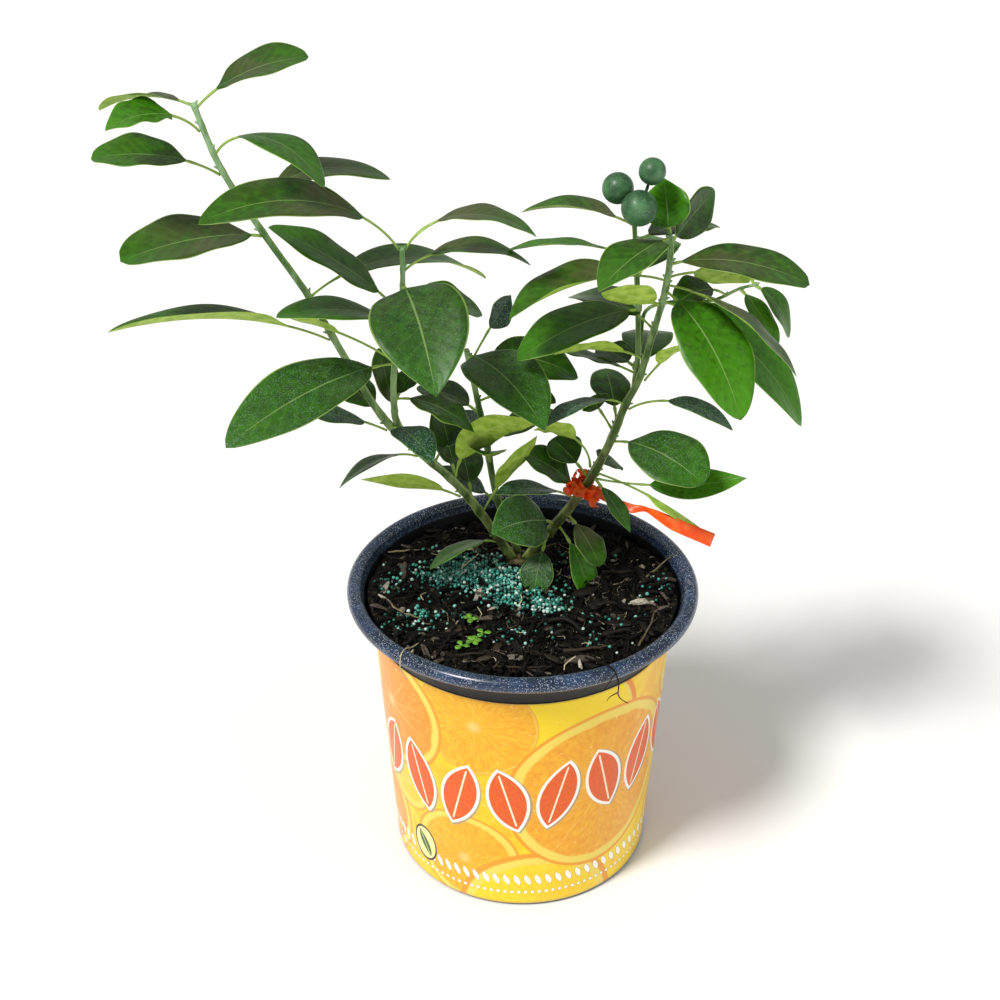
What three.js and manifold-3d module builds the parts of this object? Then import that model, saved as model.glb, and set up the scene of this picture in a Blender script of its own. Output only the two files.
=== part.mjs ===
// A young orange tree in a nursery pot: a rolled-rim plastic pot with a printed sleeve, potting
// mix with a heap of slow-release fertiliser, a short rootstock with five stems and a side twig,
// three unripe fruits, a name tag tied round one stem, and the leaves.
// Millimetres, +Z up. The origin is the centre of the pot's underside.

import * as THREE from 'three';
import Module from 'manifold-3d';
import { mergeVertices } from 'three/addons/utils/BufferGeometryUtils.js';

// ---- driving dimensions -------------------------------------------------------------------

const GAP = 0.3; // between pieces that touch
const ROUND = 40; // facets round the pot, its sleeve and the mix

const POT_HEIGHT = 252;
const POT_RIM_R = 140; // outermost, on the rolled bead
const POT_BASE_R = 106;
const POT_CORNER = 7; // rounding where the wall meets the base
const POT_WALL = 1.8;
const POT_FLOOR = 3;
const BEAD_R = 6; // the rolled rim's section
const SHOULDER_Z = POT_HEIGHT - 34; // where the wall starts to flare into the rim
const SHOULDER_R = 119.4;
const DRAIN_HOLES = 8;
const DRAIN_R = 5;
const DRAIN_RING_R = 82;
const DRAIN_FACETS = 12;

const SLEEVE_SKIN = 0.4;
const SLEEVE_FOOT = 3; // its lower edge above the floor

const MIX_TOP_Z = POT_HEIGHT - 16.5;
const MIX_RIM_GAP = 0.2565; // between its upper edge and the flared wall

const TRUNK_AT = [-2, 47];
const TRUNK_R = 11.5;
const TRUNK_HEIGHT = 7;
const TRUNK_FACETS = 12;
const TRUNK_PROFILE = [[1, 0], [0.9, 0.6], [0.82, 1]]; // shares of its radius and height

const HEAP_FROM_TRUNK = [-26, -27.5]; // its middle, from the front of the trunk
const HEAP_AT = [TRUNK_AT[0] + HEAP_FROM_TRUNK[0], TRUNK_AT[1] - TRUNK_R + HEAP_FROM_TRUNK[1]];
const HEAP_SIZE = [58, 30, 7]; // half length, half width, height
const HEAP_BANDS = [1, 0.75, 0.4, 0.02]; // shares of its reach where its rings are
const HEAP_EDGE = 0.6; // its thickness at the edge
const HEAP_SIDES = 24;

const STEM_SIDES = 8;
const STEM_STEPS = 3; // rings between two route points

const FORK_LEAST_LEAN = 0.75; // keeps a branch's flat end off the stem that bears it

const FRUIT_STALK_R = 1.2;
const FRUIT_FACETS = 14;
const FRUIT_BANDS = 9;

const TIE_HEIGHT = 13;
const TIE_SKIN = 3;
const TIE_FACETS = 16;
const TIE_AT = 1.25; // along the right stem
const TAG_WIDTH = 10;
const TAG_SKIN = 0.5;
const TAG_STEPS = 3; // rings between two route points

const PETIOLE_HALF = 1.1;
const LEAF_SKIN = 0.5;
const LEAF_FOLD = 5; // degrees each half rises from the midrib
const LEAF_BEND = 0.8; // below 1, a leaf bends most near its stalk
const LEAF_FULLNESS = 0.62; // lower is blunter at both ends
const LEAF_SKEW = 0.9; // below 1, a blade is widest nearer its stalk
const LEAF_FOOT = 1.35; // a stalk's foot stands off its stem by so many petiole halves
const LEAF_THINS_BY = 0.2; // the share of the blade over which it thins to its skin
const LEAF_BITS = 4; // straight bits between two rings, along its bend
const BLADE_STATIONS = [0, 0.08, 0.2, 0.36, 0.52, 0.68, 0.82, 0.93, 1];

// ---- materials ----------------------------------------------------------------------------

const looks = {
  pot: [0x14171f, 0.45],
  sleeve: [0xf6a81c, 0.3],
  mix: [0x1d1713, 0.95],
  prills: [0x2f8f86, 0.5],
  bark: [0x5b4a33, 0.85],
  stem: [0x5d7338, 0.6],
  leaf: [0x3c5a2c, 0.35],
  fruit: [0x4c6b35, 0.4],
  tape: [0xf0641e, 0.45],
};

function material(look) {
  const [color, roughness] = looks[look];
  return new THREE.MeshStandardMaterial({ color, roughness, metalness: 0 });
}

const group = new THREE.Group();

function add(name, geometry, look, parent = group) {
  const mesh = new THREE.Mesh(geometry, material(look));
  mesh.name = name;
  parent.add(mesh);
}

// ---- solids -------------------------------------------------------------------------------

const wasm = await Module();
wasm.setup();

function toManifold(geometry) {
  const bare = geometry.clone();
  bare.deleteAttribute('normal');
  bare.deleteAttribute('uv');
  const merged = mergeVertices(bare, 1e-4);
  const vertProperties = new Float32Array(merged.attributes.position.array);
  const triVerts = new Uint32Array(merged.index.array);
  return new wasm.Manifold(new wasm.Mesh({ numProp: 3, vertProperties, triVerts }));
}

function fromManifold(solid) {
  const mesh = solid.getMesh();
  const geometry = new THREE.BufferGeometry();
  geometry.setAttribute('position', new THREE.BufferAttribute(mesh.vertProperties, 3));
  geometry.setIndex(new THREE.BufferAttribute(mesh.triVerts, 1));
  geometry.computeVertexNormals();
  return geometry;
}

// A closed profile of [radius, height] turned about the Z axis, starting and ending on it.
function turned(profile, facets) {
  const points = profile.map(([radius, height]) => new THREE.Vector2(radius, height));
  const geometry = new THREE.LatheGeometry(points, facets);
  geometry.rotateX(Math.PI / 2);
  return geometry;
}

// Rings of points joined side to side, with a flat cap on each end.
function lofted(rings) {
  const sides = rings[0].length;
  const positions = rings.flat().flatMap((point) => [point.x, point.y, point.z]);
  const faces = [];
  for (let ring = 0; ring + 1 < rings.length; ring += 1) {
    for (let side = 0; side < sides; side += 1) {
      const a = ring * sides + side;
      const b = ring * sides + ((side + 1) % sides);
      faces.push(a, b, b + sides, a, b + sides, a + sides);
    }
  }
  const last = (rings.length - 1) * sides;
  for (let side = 1; side + 1 < sides; side += 1) {
    faces.push(0, side + 1, side);
    faces.push(last, last + side, last + side + 1);
  }
  const geometry = new THREE.BufferGeometry();
  geometry.setAttribute('position', new THREE.Float32BufferAttribute(positions, 3));
  geometry.setIndex(faces);
  geometry.computeVertexNormals();
  return geometry;
}

// A point at [across, up] in a section whose two axes are given.
function sectionPoint(centre, acrossAxis, upAxis, [across, up]) {
  return centre.clone().addScaledVector(acrossAxis, across).addScaledVector(upAxis, up);
}

// ---- the pot ------------------------------------------------------------------------------

// Outer radius of the pot's wall between the base corner and the bead.
function wallR(z) {
  const beadFootZ = POT_HEIGHT - 2 * BEAD_R + 1;
  const beadFootR = POT_RIM_R - 2 * BEAD_R;
  if (z <= SHOULDER_Z) {
    return THREE.MathUtils.mapLinear(z, 0, SHOULDER_Z, POT_BASE_R, SHOULDER_R);
  }
  return THREE.MathUtils.mapLinear(z, SHOULDER_Z, beadFootZ, SHOULDER_R, beadFootR);
}

function arc(centre, radius, from, to, steps) {
  const points = [];
  for (let step = 0; step <= steps; step += 1) {
    const angle = THREE.MathUtils.degToRad(from + ((to - from) * step) / steps);
    points.push([centre[0] + radius * Math.cos(angle), centre[1] + radius * Math.sin(angle)]);
  }
  return points;
}

const beadCentre = [POT_RIM_R - BEAD_R, POT_HEIGHT - BEAD_R];
const cornerCentre = [wallR(POT_CORNER) - POT_CORNER, POT_CORNER];

// Inner radius of the wall, which runs straight from the shoulder to the bead's inner side.
function innerR(z) {
  if (z <= SHOULDER_Z) {
    return wallR(z) - POT_WALL;
  }
  const [from, to] = [SHOULDER_R - POT_WALL, POT_RIM_R - 2 * BEAD_R];
  return THREE.MathUtils.mapLinear(z, SHOULDER_Z, beadCentre[1], from, to);
}

const potProfile = [
  [0, 0],
  ...arc(cornerCentre, POT_CORNER, -90, 0, 3),
  [wallR(SHOULDER_Z), SHOULDER_Z],
  ...arc(beadCentre, BEAD_R, -140, 180, 10),
  [innerR(SHOULDER_Z), SHOULDER_Z],
  ...arc(cornerCentre, POT_CORNER - POT_WALL, 0, -60, 2),
  [cornerCentre[0] - POT_CORNER, POT_FLOOR],
  [0, POT_FLOOR],
];

function drilledPot() {
  let solid = toManifold(turned(potProfile, ROUND));
  for (let hole = 0; hole < DRAIN_HOLES; hole += 1) {
    const angle = (2 * Math.PI * (hole + 0.5)) / DRAIN_HOLES;
    const drill = new THREE.CylinderGeometry(DRAIN_R, DRAIN_R, 4 * POT_FLOOR, DRAIN_FACETS);
    drill.rotateX(Math.PI / 2);
    drill.translate(DRAIN_RING_R * Math.cos(angle), DRAIN_RING_R * Math.sin(angle), 0);
    solid = solid.subtract(toManifold(drill));
  }
  return fromManifold(solid);
}

add('nursery_pot', drilledPot(), 'pot');

// ---- the printed sleeve -------------------------------------------------------------------

function sleeve() {
  const inner = (z) => wallR(z) + GAP;
  const outer = (z) => inner(z) + SLEEVE_SKIN;
  const profile = [
    [inner(SLEEVE_FOOT), SLEEVE_FOOT],
    [outer(SLEEVE_FOOT), SLEEVE_FOOT],
    [outer(SHOULDER_Z), SHOULDER_Z],
    [inner(SHOULDER_Z), SHOULDER_Z],
    [inner(SLEEVE_FOOT), SLEEVE_FOOT],
  ];
  return turned(profile, ROUND);
}

add('printed_sleeve', sleeve(), 'sleeve');

// ---- the potting mix and the fertiliser on it ---------------------------------------------

const mixR = (z) => innerR(z) - GAP;

const mixProfile = [
  [0, POT_FLOOR + GAP],
  [cornerCentre[0] - POT_CORNER, POT_FLOOR + GAP],
  [mixR(2 * POT_CORNER) - GAP, 2 * POT_CORNER],
  [mixR(SHOULDER_Z), SHOULDER_Z],
  [innerR(MIX_TOP_Z) - MIX_RIM_GAP, MIX_TOP_Z],
  [0, MIX_TOP_Z],
];
add('potting_mix', turned(mixProfile, ROUND), 'mix');

// A low cap with a flat underside.
function heap() {
  const [halfLength, halfWidth, height] = HEAP_SIZE;
  const place = (share, lift) => {
    const ring = [];
    for (let side = 0; side < HEAP_SIDES; side += 1) {
      const angle = (2 * Math.PI * side) / HEAP_SIDES;
      const x = HEAP_AT[0] + halfLength * share * Math.cos(angle);
      const y = HEAP_AT[1] + halfWidth * share * Math.sin(angle);
      ring.push(new THREE.Vector3(x, y, MIX_TOP_Z + GAP + lift));
    }
    return ring;
  };
  const over = HEAP_BANDS.map((share) => place(share, HEAP_EDGE + height * (1 - share * share)));
  return lofted([place(1, 0), ...over]);
}

add('fertiliser_heap', heap(), 'prills');

// ---- rootstock and stems ------------------------------------------------------------------

const trunkFoot = MIX_TOP_Z + GAP;
const trunkTop = trunkFoot + TRUNK_HEIGHT;
const trunkSide = TRUNK_PROFILE.map(([reach, lift]) => [TRUNK_R * reach, TRUNK_HEIGHT * lift]);
const trunk = turned([[0, 0], ...trunkSide, [0, TRUNK_HEIGHT]], TRUNK_FACETS);
trunk.translate(TRUNK_AT[0], TRUNK_AT[1], trunkFoot);
add('rootstock', trunk, 'bark');

// The plant is laid out from its crown, the middle of the rootstock's top.
const plant = new THREE.Group();
plant.position.set(TRUNK_AT[0], TRUNK_AT[1], trunkTop);
group.add(plant);

// Each stem has a route and a radius at its foot and at its tip.
const stems = {
  left: {
    route: [
      [-6, -3, GAP], [-34, -13, 53], [-55, -20, 85], [-101, -33, 140], [-127, -45, 195],
      [-152, -55, 253], [-180, -65, 306], [-203, -75, 355], [-216, -81, 400],
    ],
    radii: [4.6, 2.2],
  },
  middle: {
    route: [[-1, 6, GAP], [-18, 0, 54], [-27, -9, 113], [-34, -17, 156], [-41, -27, 199]],
    radii: [3.4, 2.2],
  },
  right: {
    route: [
      [5, -4, GAP], [44, -11, 59], [66, -17, 106], [80, -21, 150], [89, -23, 172],
      [96, -33, 211], [103, -41, 251], [105, -47, 284], [103, -50, 298],
    ],
    radii: [4.6, 2.4],
  },
};

// Forks start on the side of the stem that bears them.
stems.centre = {
  route: [
    forkFoot('left', 3, [0.75, -0.2, 0.6], 2.8),
    [-96, -37, 170], [-94, -43, 196], [-89, -51, 232], [-85, -59, 265], [-84, -65, 295],
  ],
  radii: [2.8, 1.9],
};
stems.fruit = {
  route: [
    forkFoot('right', 4, [0, 0.6, 0.8], 2.4),
    [88, -16, 198], [86, -17, 235], [82, -27, 276], [79, -37, 303],
  ],
  radii: [2.4, 1.9],
};
stems.side = {
  route: [
    forkFoot('fruit', 1, [0.5, 0.8, 0.2], 1.7),
    [94, -1, 219], [114, 5, 224], [144, 3, 226], [163, -3, 238], [175, -7, 243],
  ],
  radii: [1.7, 1.2],
};

function curveOf(stem) {
  const points = stem.route.map((point) => new THREE.Vector3(...point));
  return new THREE.CatmullRomCurve3(points, false, 'catmullrom', 0.5);
}

// Where a stem's centre line is, which way it runs and how thick it is at a place along its route.
function along(name, at) {
  const stem = stems[name];
  const spans = stem.route.length - 1;
  const share = at / spans;
  const curve = curveOf(stem);
  return {
    point: curve.getPoint(share),
    heading: curve.getTangent(share),
    radius: THREE.MathUtils.lerp(stem.radii[0], stem.radii[1], share),
  };
}

// The foot of a branch of the given radius, set off a bearing stem in the given direction.
function forkFoot(bearer, at, direction, radius) {
  const { point, heading, radius: bearerR } = along(bearer, at);
  const away = new THREE.Vector3(...direction).normalize();
  const side = away.clone().addScaledVector(heading, -away.dot(heading)).normalize();
  const lean = Math.sqrt(1 - away.dot(side) ** 2);
  const reach = bearerR + GAP + radius * Math.max(lean, FORK_LEAST_LEAN);
  return point.addScaledVector(side, reach).toArray();
}

function stemTube(name) {
  const spans = stems[name].route.length - 1;
  const rings = [];
  for (let step = 0; step <= spans * STEM_STEPS; step += 1) {
    const { point, heading, radius } = along(name, step / STEM_STEPS);
    const flatFoot = step === 0 && stems[name].route[0][2] === GAP;
    const normal = flatFoot ? new THREE.Vector3(0, 0, 1) : heading;
    const across = new THREE.Vector3(0, 1, 0).cross(normal).normalize();
    const up = normal.clone().cross(across);
    const ring = [];
    for (let side = 0; side < STEM_SIDES; side += 1) {
      const angle = (2 * Math.PI * side) / STEM_SIDES;
      const spot = [radius * Math.cos(angle), radius * Math.sin(angle)];
      ring.push(sectionPoint(point, across, up, spot));
    }
    rings.push(ring);
  }
  return lofted(rings);
}

for (const name of Object.keys(stems)) {
  add(`${name}_stem`, stemTube(name), 'stem', plant);
}

// ---- fruits -------------------------------------------------------------------------------

// Centre, radius and where the stalk's foot stands, counted from the fruit stem's tip.
const fruits = [
  { centre: [66.5, -37, 327.7], radius: 11.2, foot: [-2.2, 0.8, 0.9] },
  { centre: [88.6, -51, 344.5], radius: 9.5, foot: [2.2, 1.2, 1.4] },
  { centre: [80, -59, 321], radius: 12.6, foot: [0.5, -2.5, -0.2] },
];

function fruit({ centre, radius, foot }) {
  const start = along('fruit', stems.fruit.route.length - 1).point.add(new THREE.Vector3(...foot));
  const axis = new THREE.Vector3(...centre).sub(start);
  const reach = axis.length();
  const neck = THREE.MathUtils.radToDeg(Math.asin(FRUIT_STALK_R / radius));
  const body = arc([0, reach], radius, neck - 90, 90, FRUIT_BANDS);
  const profile = [[0, 0], [FRUIT_STALK_R, 0], ...body.slice(0, -1), [0, reach + radius]];
  const geometry = turned(profile, FRUIT_FACETS);
  const turn = new THREE.Quaternion().setFromUnitVectors(new THREE.Vector3(0, 0, 1), axis.normalize());
  geometry.applyQuaternion(turn);
  geometry.translate(start.x, start.y, start.z);
  return geometry;
}

fruits.forEach((one, index) => add(`fruit_${index + 1}`, fruit(one), 'fruit', plant));

// ---- name tag -----------------------------------------------------------------------------

const tieCentre = along('right', TIE_AT);
const tieBore = (tieCentre.radius + GAP) / Math.cos(Math.PI / TIE_FACETS) + GAP;

// A band of tape round the right stem.
function tie() {
  const half = TIE_HEIGHT / 2;
  const outer = tieBore + TIE_SKIN;
  const profile = [
    [tieBore, -half],
    [outer, -half],
    [outer, half],
    [tieBore, half],
    [tieBore, -half],
  ];
  const geometry = turned(profile, TIE_FACETS);
  const turn = new THREE.Quaternion().setFromUnitVectors(new THREE.Vector3(0, 0, 1), tieCentre.heading);
  geometry.applyQuaternion(turn);
  geometry.translate(...tieCentre.point.toArray());
  return geometry;
}

add('tag_tie', tie(), 'tape', plant);

// Where the strip starts, just clear of the tie.
function tagFoot() {
  const away = new THREE.Vector3(0.9, -0.4, -0.1).normalize();
  return tieCentre.point.clone().addScaledVector(away, tieBore + TIE_SKIN + 4 * GAP).toArray();
}

// The strip that runs out from the tie: centre line points and how far the strip is rolled there.
const tagRoute = [
  { at: tagFoot(), roll: 60 },
  { at: [70, -22, 67], roll: 50 },
  { at: [87, -28, 62], roll: 60 },
  { at: [100, -33, 63], roll: 30 },
  { at: [121, -41, 55], roll: 40 },
  { at: [151, -49, 45], roll: 40 },
];

function tagStrip() {
  const points = tagRoute.map(({ at }) => new THREE.Vector3(...at));
  const curve = new THREE.CatmullRomCurve3(points, false, 'catmullrom', 0.5);
  const spans = tagRoute.length - 1;
  const rings = [];
  for (let step = 0; step <= spans * TAG_STEPS; step += 1) {
    const place = step / TAG_STEPS;
    const share = place / spans;
    const span = Math.min(Math.floor(place), spans - 1);
    const roll = THREE.MathUtils.lerp(tagRoute[span].roll, tagRoute[span + 1].roll, place - span);
    const heading = curve.getTangent(share);
    const across = new THREE.Vector3(0, 0, 1).cross(heading).normalize();
    across.applyAxisAngle(heading, THREE.MathUtils.degToRad(roll));
    const up = heading.clone().cross(across);
    const [half, skin] = [TAG_WIDTH / 2, TAG_SKIN / 2];
    const section = [[half, skin], [-half, skin], [-half, -skin], [half, -skin]];
    rings.push(section.map((spot) => sectionPoint(curve.getPoint(share), across, up, spot)));
  }
  return lofted(rings);
}

add('name_tag', tagStrip(), 'tape', plant);

// ---- leaves -------------------------------------------------------------------------------

// One row a leaf: how far along its stem it stands (counted in route points), the compass turn
// and rise of its stalk in degrees, its whole length, its stalk's length, the blade's width,
// the bend from end to end and the roll about its own midrib.
const leaves = {
  left: [
    [7.95, 10, 46, 80, 16, 40, 45, 10],
    [8.0, 145, 22, 66, 7, 34, 40, 0],
    [7.65, -150, 52, 66, 20, 36, 80, -10],
    [7.25, -25, 52, 95, 22, 40, 110, -5],
    [6.95, -170, 35, 84, 22, 42, 45, -15],
    [6.35, 25, 46, 110, 22, 38, 78, 5],
    [6.0, -152, 16, 98, 5, 54, 30, -12],
    [5.0, 33, 31, 156, 26, 44, 70, 2],
    [4.45, -157, 34, 160, 28, 30, 40, 5],
    [3.15, 145, 35, 56, 7, 36, 15, 0],
    [2.95, -55, 25, 56, 7, 32, 60, -5],
    [2.0, -38, 80, 116, 16, 32, 70, -45],
    [2.0, 115, 70, 58, 7, 40, 20, 25],
    [0.95, -25, 65, 88, 24, 30, 10, -20],
  ],
  centre: [
    [5.0, -155, 60, 154, 35, 44, 80, -18],
    [5.0, -5, 62, 102, 30, 36, 100, 0],
    [4.4, 13, 38, 96, 20, 30, 75, 0],
    [4.0, -74, 6, 106, 6, 68, 55, 12],
    [3.7, 20, 0, 64, 12, 40, 40, 15],
    [3.35, -168, 52, 110, 18, 42, 25, -15],
    [3.0, -150, 37, 95, 10, 42, 40, -5],
    [2.0, -139, 12, 148, 18, 52, 35, -20],
    [0.75, -18, 16, 66, 10, 34, 60, 0],
  ],
  middle: [
    [3.8, 10, 12, 88, 16, 40, 50, 25],
    [3.9, -52, 14, 96, 4, 58, 55, 5],
  ],
  right: [
    [7.95, 110, 70, 38, 4, 38, 0, -50],
    [7.9, -137, 3, 72, 6, 44, 35, 5],
    [6.7, -12, 20, 100, 15, 44, 45, 12],
    [6.35, 20, 10, 66, 18, 34, 40, -50],
    [6.3, -160, 24, 122, 25, 50, 55, -8],
    [6.05, -58, -5, 114, 16, 58, 55, 10],
    [5.75, -145, 34, 56, 4, 30, 20, 45],
    [5.8, -12, -10, 143, 10, 50, 55, 20],
    [3.05, -142, 36, 80, 15, 28, 60, 15],
    [3.0, -15, 38, 85, 30, 28, 80, 0],
    [2.3, -40, 22, 84, 12, 54, 50, 12],
    [1.45, 140, 42, 40, 12, 34, 20, -10],
    [1.05, -150, 40, 76, 18, 30, 40, 5],
    [0.8, -55, -10, 50, 10, 28, 40, -10],
    [0.6, -140, 35, 66, 8, 46, 40, -40],
  ],
  fruit: [
    [3.9, 160, 24, 84, 12, 28, 45, 5],
    [1.8, -153, 8, 102, 5, 46, 35, -10],
  ],
  side: [
    [4.1, -45, -26, 54, 4, 28, 40, -5],
    [3.45, -170, 40, 42, 10, 36, 90, -10],
  ],
};

// The blade's half width at a share of its length.
function bladeHalf(share, width) {
  return (width / 2) * Math.sin(Math.PI * share ** LEAF_SKEW) ** LEAF_FULLNESS;
}

function leaf(stemName, [at, turn, rise, length, stalk, width, droop, roll]) {
  const { degToRad } = THREE.MathUtils;
  const azimuth = degToRad(turn);
  const headingAt = (distance) => {
    const slope = degToRad(rise - droop * (distance / length) ** LEAF_BEND);
    const level = Math.cos(slope);
    return new THREE.Vector3(level * Math.cos(azimuth), level * Math.sin(azimuth), Math.sin(slope));
  };
  const bearer = along(stemName, at);
  const out = headingAt(0);
  const side = out.clone().addScaledVector(bearer.heading, -out.dot(bearer.heading)).normalize();
  const lean = Math.sqrt(1 - out.dot(side) ** 2);
  const foot = bearer.radius + GAP + LEAF_FOOT * PETIOLE_HALF * lean;
  const centre = bearer.point.clone().addScaledVector(side, foot);

  const stations = [0, ...BLADE_STATIONS.map((share) => stalk + share * (length - stalk))];
  const level = new THREE.Vector3(-Math.sin(azimuth), Math.cos(azimuth), 0);
  const rings = [];
  let before = 0;
  for (const distance of stations) {
    for (let bit = 0; bit < LEAF_BITS; bit += 1) {
      const middle = before + ((distance - before) * (bit + 0.5)) / LEAF_BITS;
      centre.addScaledVector(headingAt(middle), (distance - before) / LEAF_BITS);
    }
    before = distance;
    const share = Math.max(0, (distance - stalk) / (length - stalk));
    const half = Math.max(PETIOLE_HALF * (1 - 0.5 * share), bladeHalf(share, width));
    const thinned = Math.min(1, share / LEAF_THINS_BY);
    const skin = THREE.MathUtils.lerp(PETIOLE_HALF, LEAF_SKIN / 2, thinned);
    const fold = share > 0 && share < 1 ? degToRad(LEAF_FOLD) : 0;
    const heading = headingAt(distance);
    const across = level.clone().applyAxisAngle(heading, degToRad(roll));
    const up = heading.clone().cross(across);
    const [wide, high] = [half * Math.cos(fold), half * Math.sin(fold)];
    const section = [
      [wide, high + skin], [0, skin], [-wide, high + skin],
      [-wide, high - skin], [0, -skin], [wide, high - skin],
    ];
    rings.push(section.map((spot) => sectionPoint(centre, across, up, spot)));
  }
  return lofted(rings);
}

for (const [stemName, rows] of Object.entries(leaves)) {
  rows.forEach((row, index) => {
    add(`${stemName}_leaf_${index + 1}`, leaf(stemName, row), 'leaf', plant);
  });
}

export default group;
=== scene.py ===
import math
import random

import bpy
import numpy as np
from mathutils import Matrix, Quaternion, Vector, noise


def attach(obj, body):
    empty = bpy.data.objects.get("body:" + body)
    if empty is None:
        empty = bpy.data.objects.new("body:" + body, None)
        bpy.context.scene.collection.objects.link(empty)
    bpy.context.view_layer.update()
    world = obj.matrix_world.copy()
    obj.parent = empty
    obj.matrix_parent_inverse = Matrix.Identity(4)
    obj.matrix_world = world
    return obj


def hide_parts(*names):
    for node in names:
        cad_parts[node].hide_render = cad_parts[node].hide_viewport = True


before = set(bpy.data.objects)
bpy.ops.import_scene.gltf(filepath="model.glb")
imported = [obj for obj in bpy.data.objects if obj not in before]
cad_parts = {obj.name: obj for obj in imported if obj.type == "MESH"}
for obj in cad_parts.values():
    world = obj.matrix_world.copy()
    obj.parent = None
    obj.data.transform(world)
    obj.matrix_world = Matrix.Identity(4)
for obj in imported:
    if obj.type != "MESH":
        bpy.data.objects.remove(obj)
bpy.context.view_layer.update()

# ---- the setting ---------------------------------------------------------------------------
# A plain pale floor in a pale room, lit by a broad soft light high on the left and a weak soft
# box low on the right. The camera looks down on the tree from the front.

scene = bpy.context.scene
scene.view_settings.view_transform = "Standard"

world = bpy.data.worlds.new("pale_room")
world.use_nodes = True
backdrop = world.node_tree.nodes["Background"]
backdrop.inputs["Color"].default_value = (1.0, 0.99, 0.97, 1)
backdrop.inputs["Strength"].default_value = 0.44
scene.world = world

TREE_MIDDLE = (0, 0, 0.3)


def lamp(name, kind, place, **settings):
    """A light at a place, aimed at the middle of the tree."""
    light = bpy.data.lights.new(name, kind)
    for key, value in settings.items():
        setattr(light, key, value)
    holder = bpy.data.objects.new(name, light)
    holder.location = place
    holder.rotation_euler = (Vector(TREE_MIDDLE) - Vector(place)).to_track_quat("-Z", "Y").to_euler()
    scene.collection.objects.link(holder)


lamp("key", "SUN", (-1.3, -1.1, 2.6), energy=2.85, angle=math.radians(14),
     color=(1.0, 0.985, 0.95))
lamp("side_box", "AREA", (1.6, -1.2, 0.9), size=1.0, energy=4.5, color=(0.95, 0.98, 1.0))

CAMERA_PITCH = math.radians(30.4)  # down from level
camera = bpy.data.objects.new("camera", bpy.data.cameras.new("camera"))
camera.data.sensor_width = 36
camera.data.lens = 55.76
camera.location = (-0.018, -1.035, 0.9307)
camera.rotation_euler = (math.pi / 2 - CAMERA_PITCH, 0, 0)
scene.collection.objects.link(camera)
scene.camera = camera

FLOOR_HALF = 6
floor_mesh = bpy.data.meshes.new("floor")
floor_corners = [(x * FLOOR_HALF, y * FLOOR_HALF, 0) for x, y in ((-1, -1), (1, -1), (1, 1), (-1, 1))]
floor_mesh.from_pydata(floor_corners, [], [(0, 1, 2, 3)])
floor = bpy.data.objects.new("floor", floor_mesh)
scene.collection.objects.link(floor)
pale = bpy.data.materials.new("pale_floor")
pale.use_nodes = True
matt = pale.node_tree.nodes["Principled BSDF"]
matt.inputs["Base Color"].default_value = (0.93, 0.93, 0.93, 1)
matt.inputs["Roughness"].default_value = 0.9
floor_mesh.materials.append(pale)


# ---- the pot -------------------------------------------------------------------------------
# A moulded nursery pot in blue-black plastic: a rolled rim with pale grit dried on it, a
# collar that flares below the rim, a tapering wall and eight drain holes in a flat base.


def joined(operation):
    """An operator that joins a wire to a number or another wire with one Math node."""
    return lambda wire, other: wire.math(operation, other)


class Wire:
    """An output in a material's nodes. Arithmetic on it adds Math nodes."""

    __add__ = __radd__ = joined("ADD")
    __mul__ = __rmul__ = joined("MULTIPLY")
    __sub__ = joined("SUBTRACT")
    __truediv__ = joined("DIVIDE")
    __pow__ = joined("POWER")
    __mod__ = joined("FLOORED_MODULO")
    __lt__ = joined("LESS_THAN")
    most = joined("MAXIMUM")
    least = joined("MINIMUM")

    def __init__(self, paint, socket):
        self.paint = paint
        self.socket = socket

    def __rsub__(self, other):
        return self * -1 + other

    def __abs__(self):
        return self.math("ABSOLUTE")

    def math(self, operation, *others):
        sockets = dict(enumerate((self, *others)))
        return self.paint.node("ShaderNodeMath", {"operation": operation}, sockets)

    def rise(self, low, high):
        """0 below low and 1 above high, with a smooth step between; low may be the larger."""
        ends = {"Value": self, "From Min": low, "From Max": high}
        return self.paint.node("ShaderNodeMapRange", {"interpolation_type": "SMOOTHSTEP"}, ends)


def tint(code):
    """A linear colour from a hex code."""
    parts = [int(code[i:i + 2], 16) / 255 for i in (0, 2, 4)]
    return (*(c / 12.92 if c < 0.04045 else ((c + 0.055) / 1.055) ** 2.4 for c in parts), 1)


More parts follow.
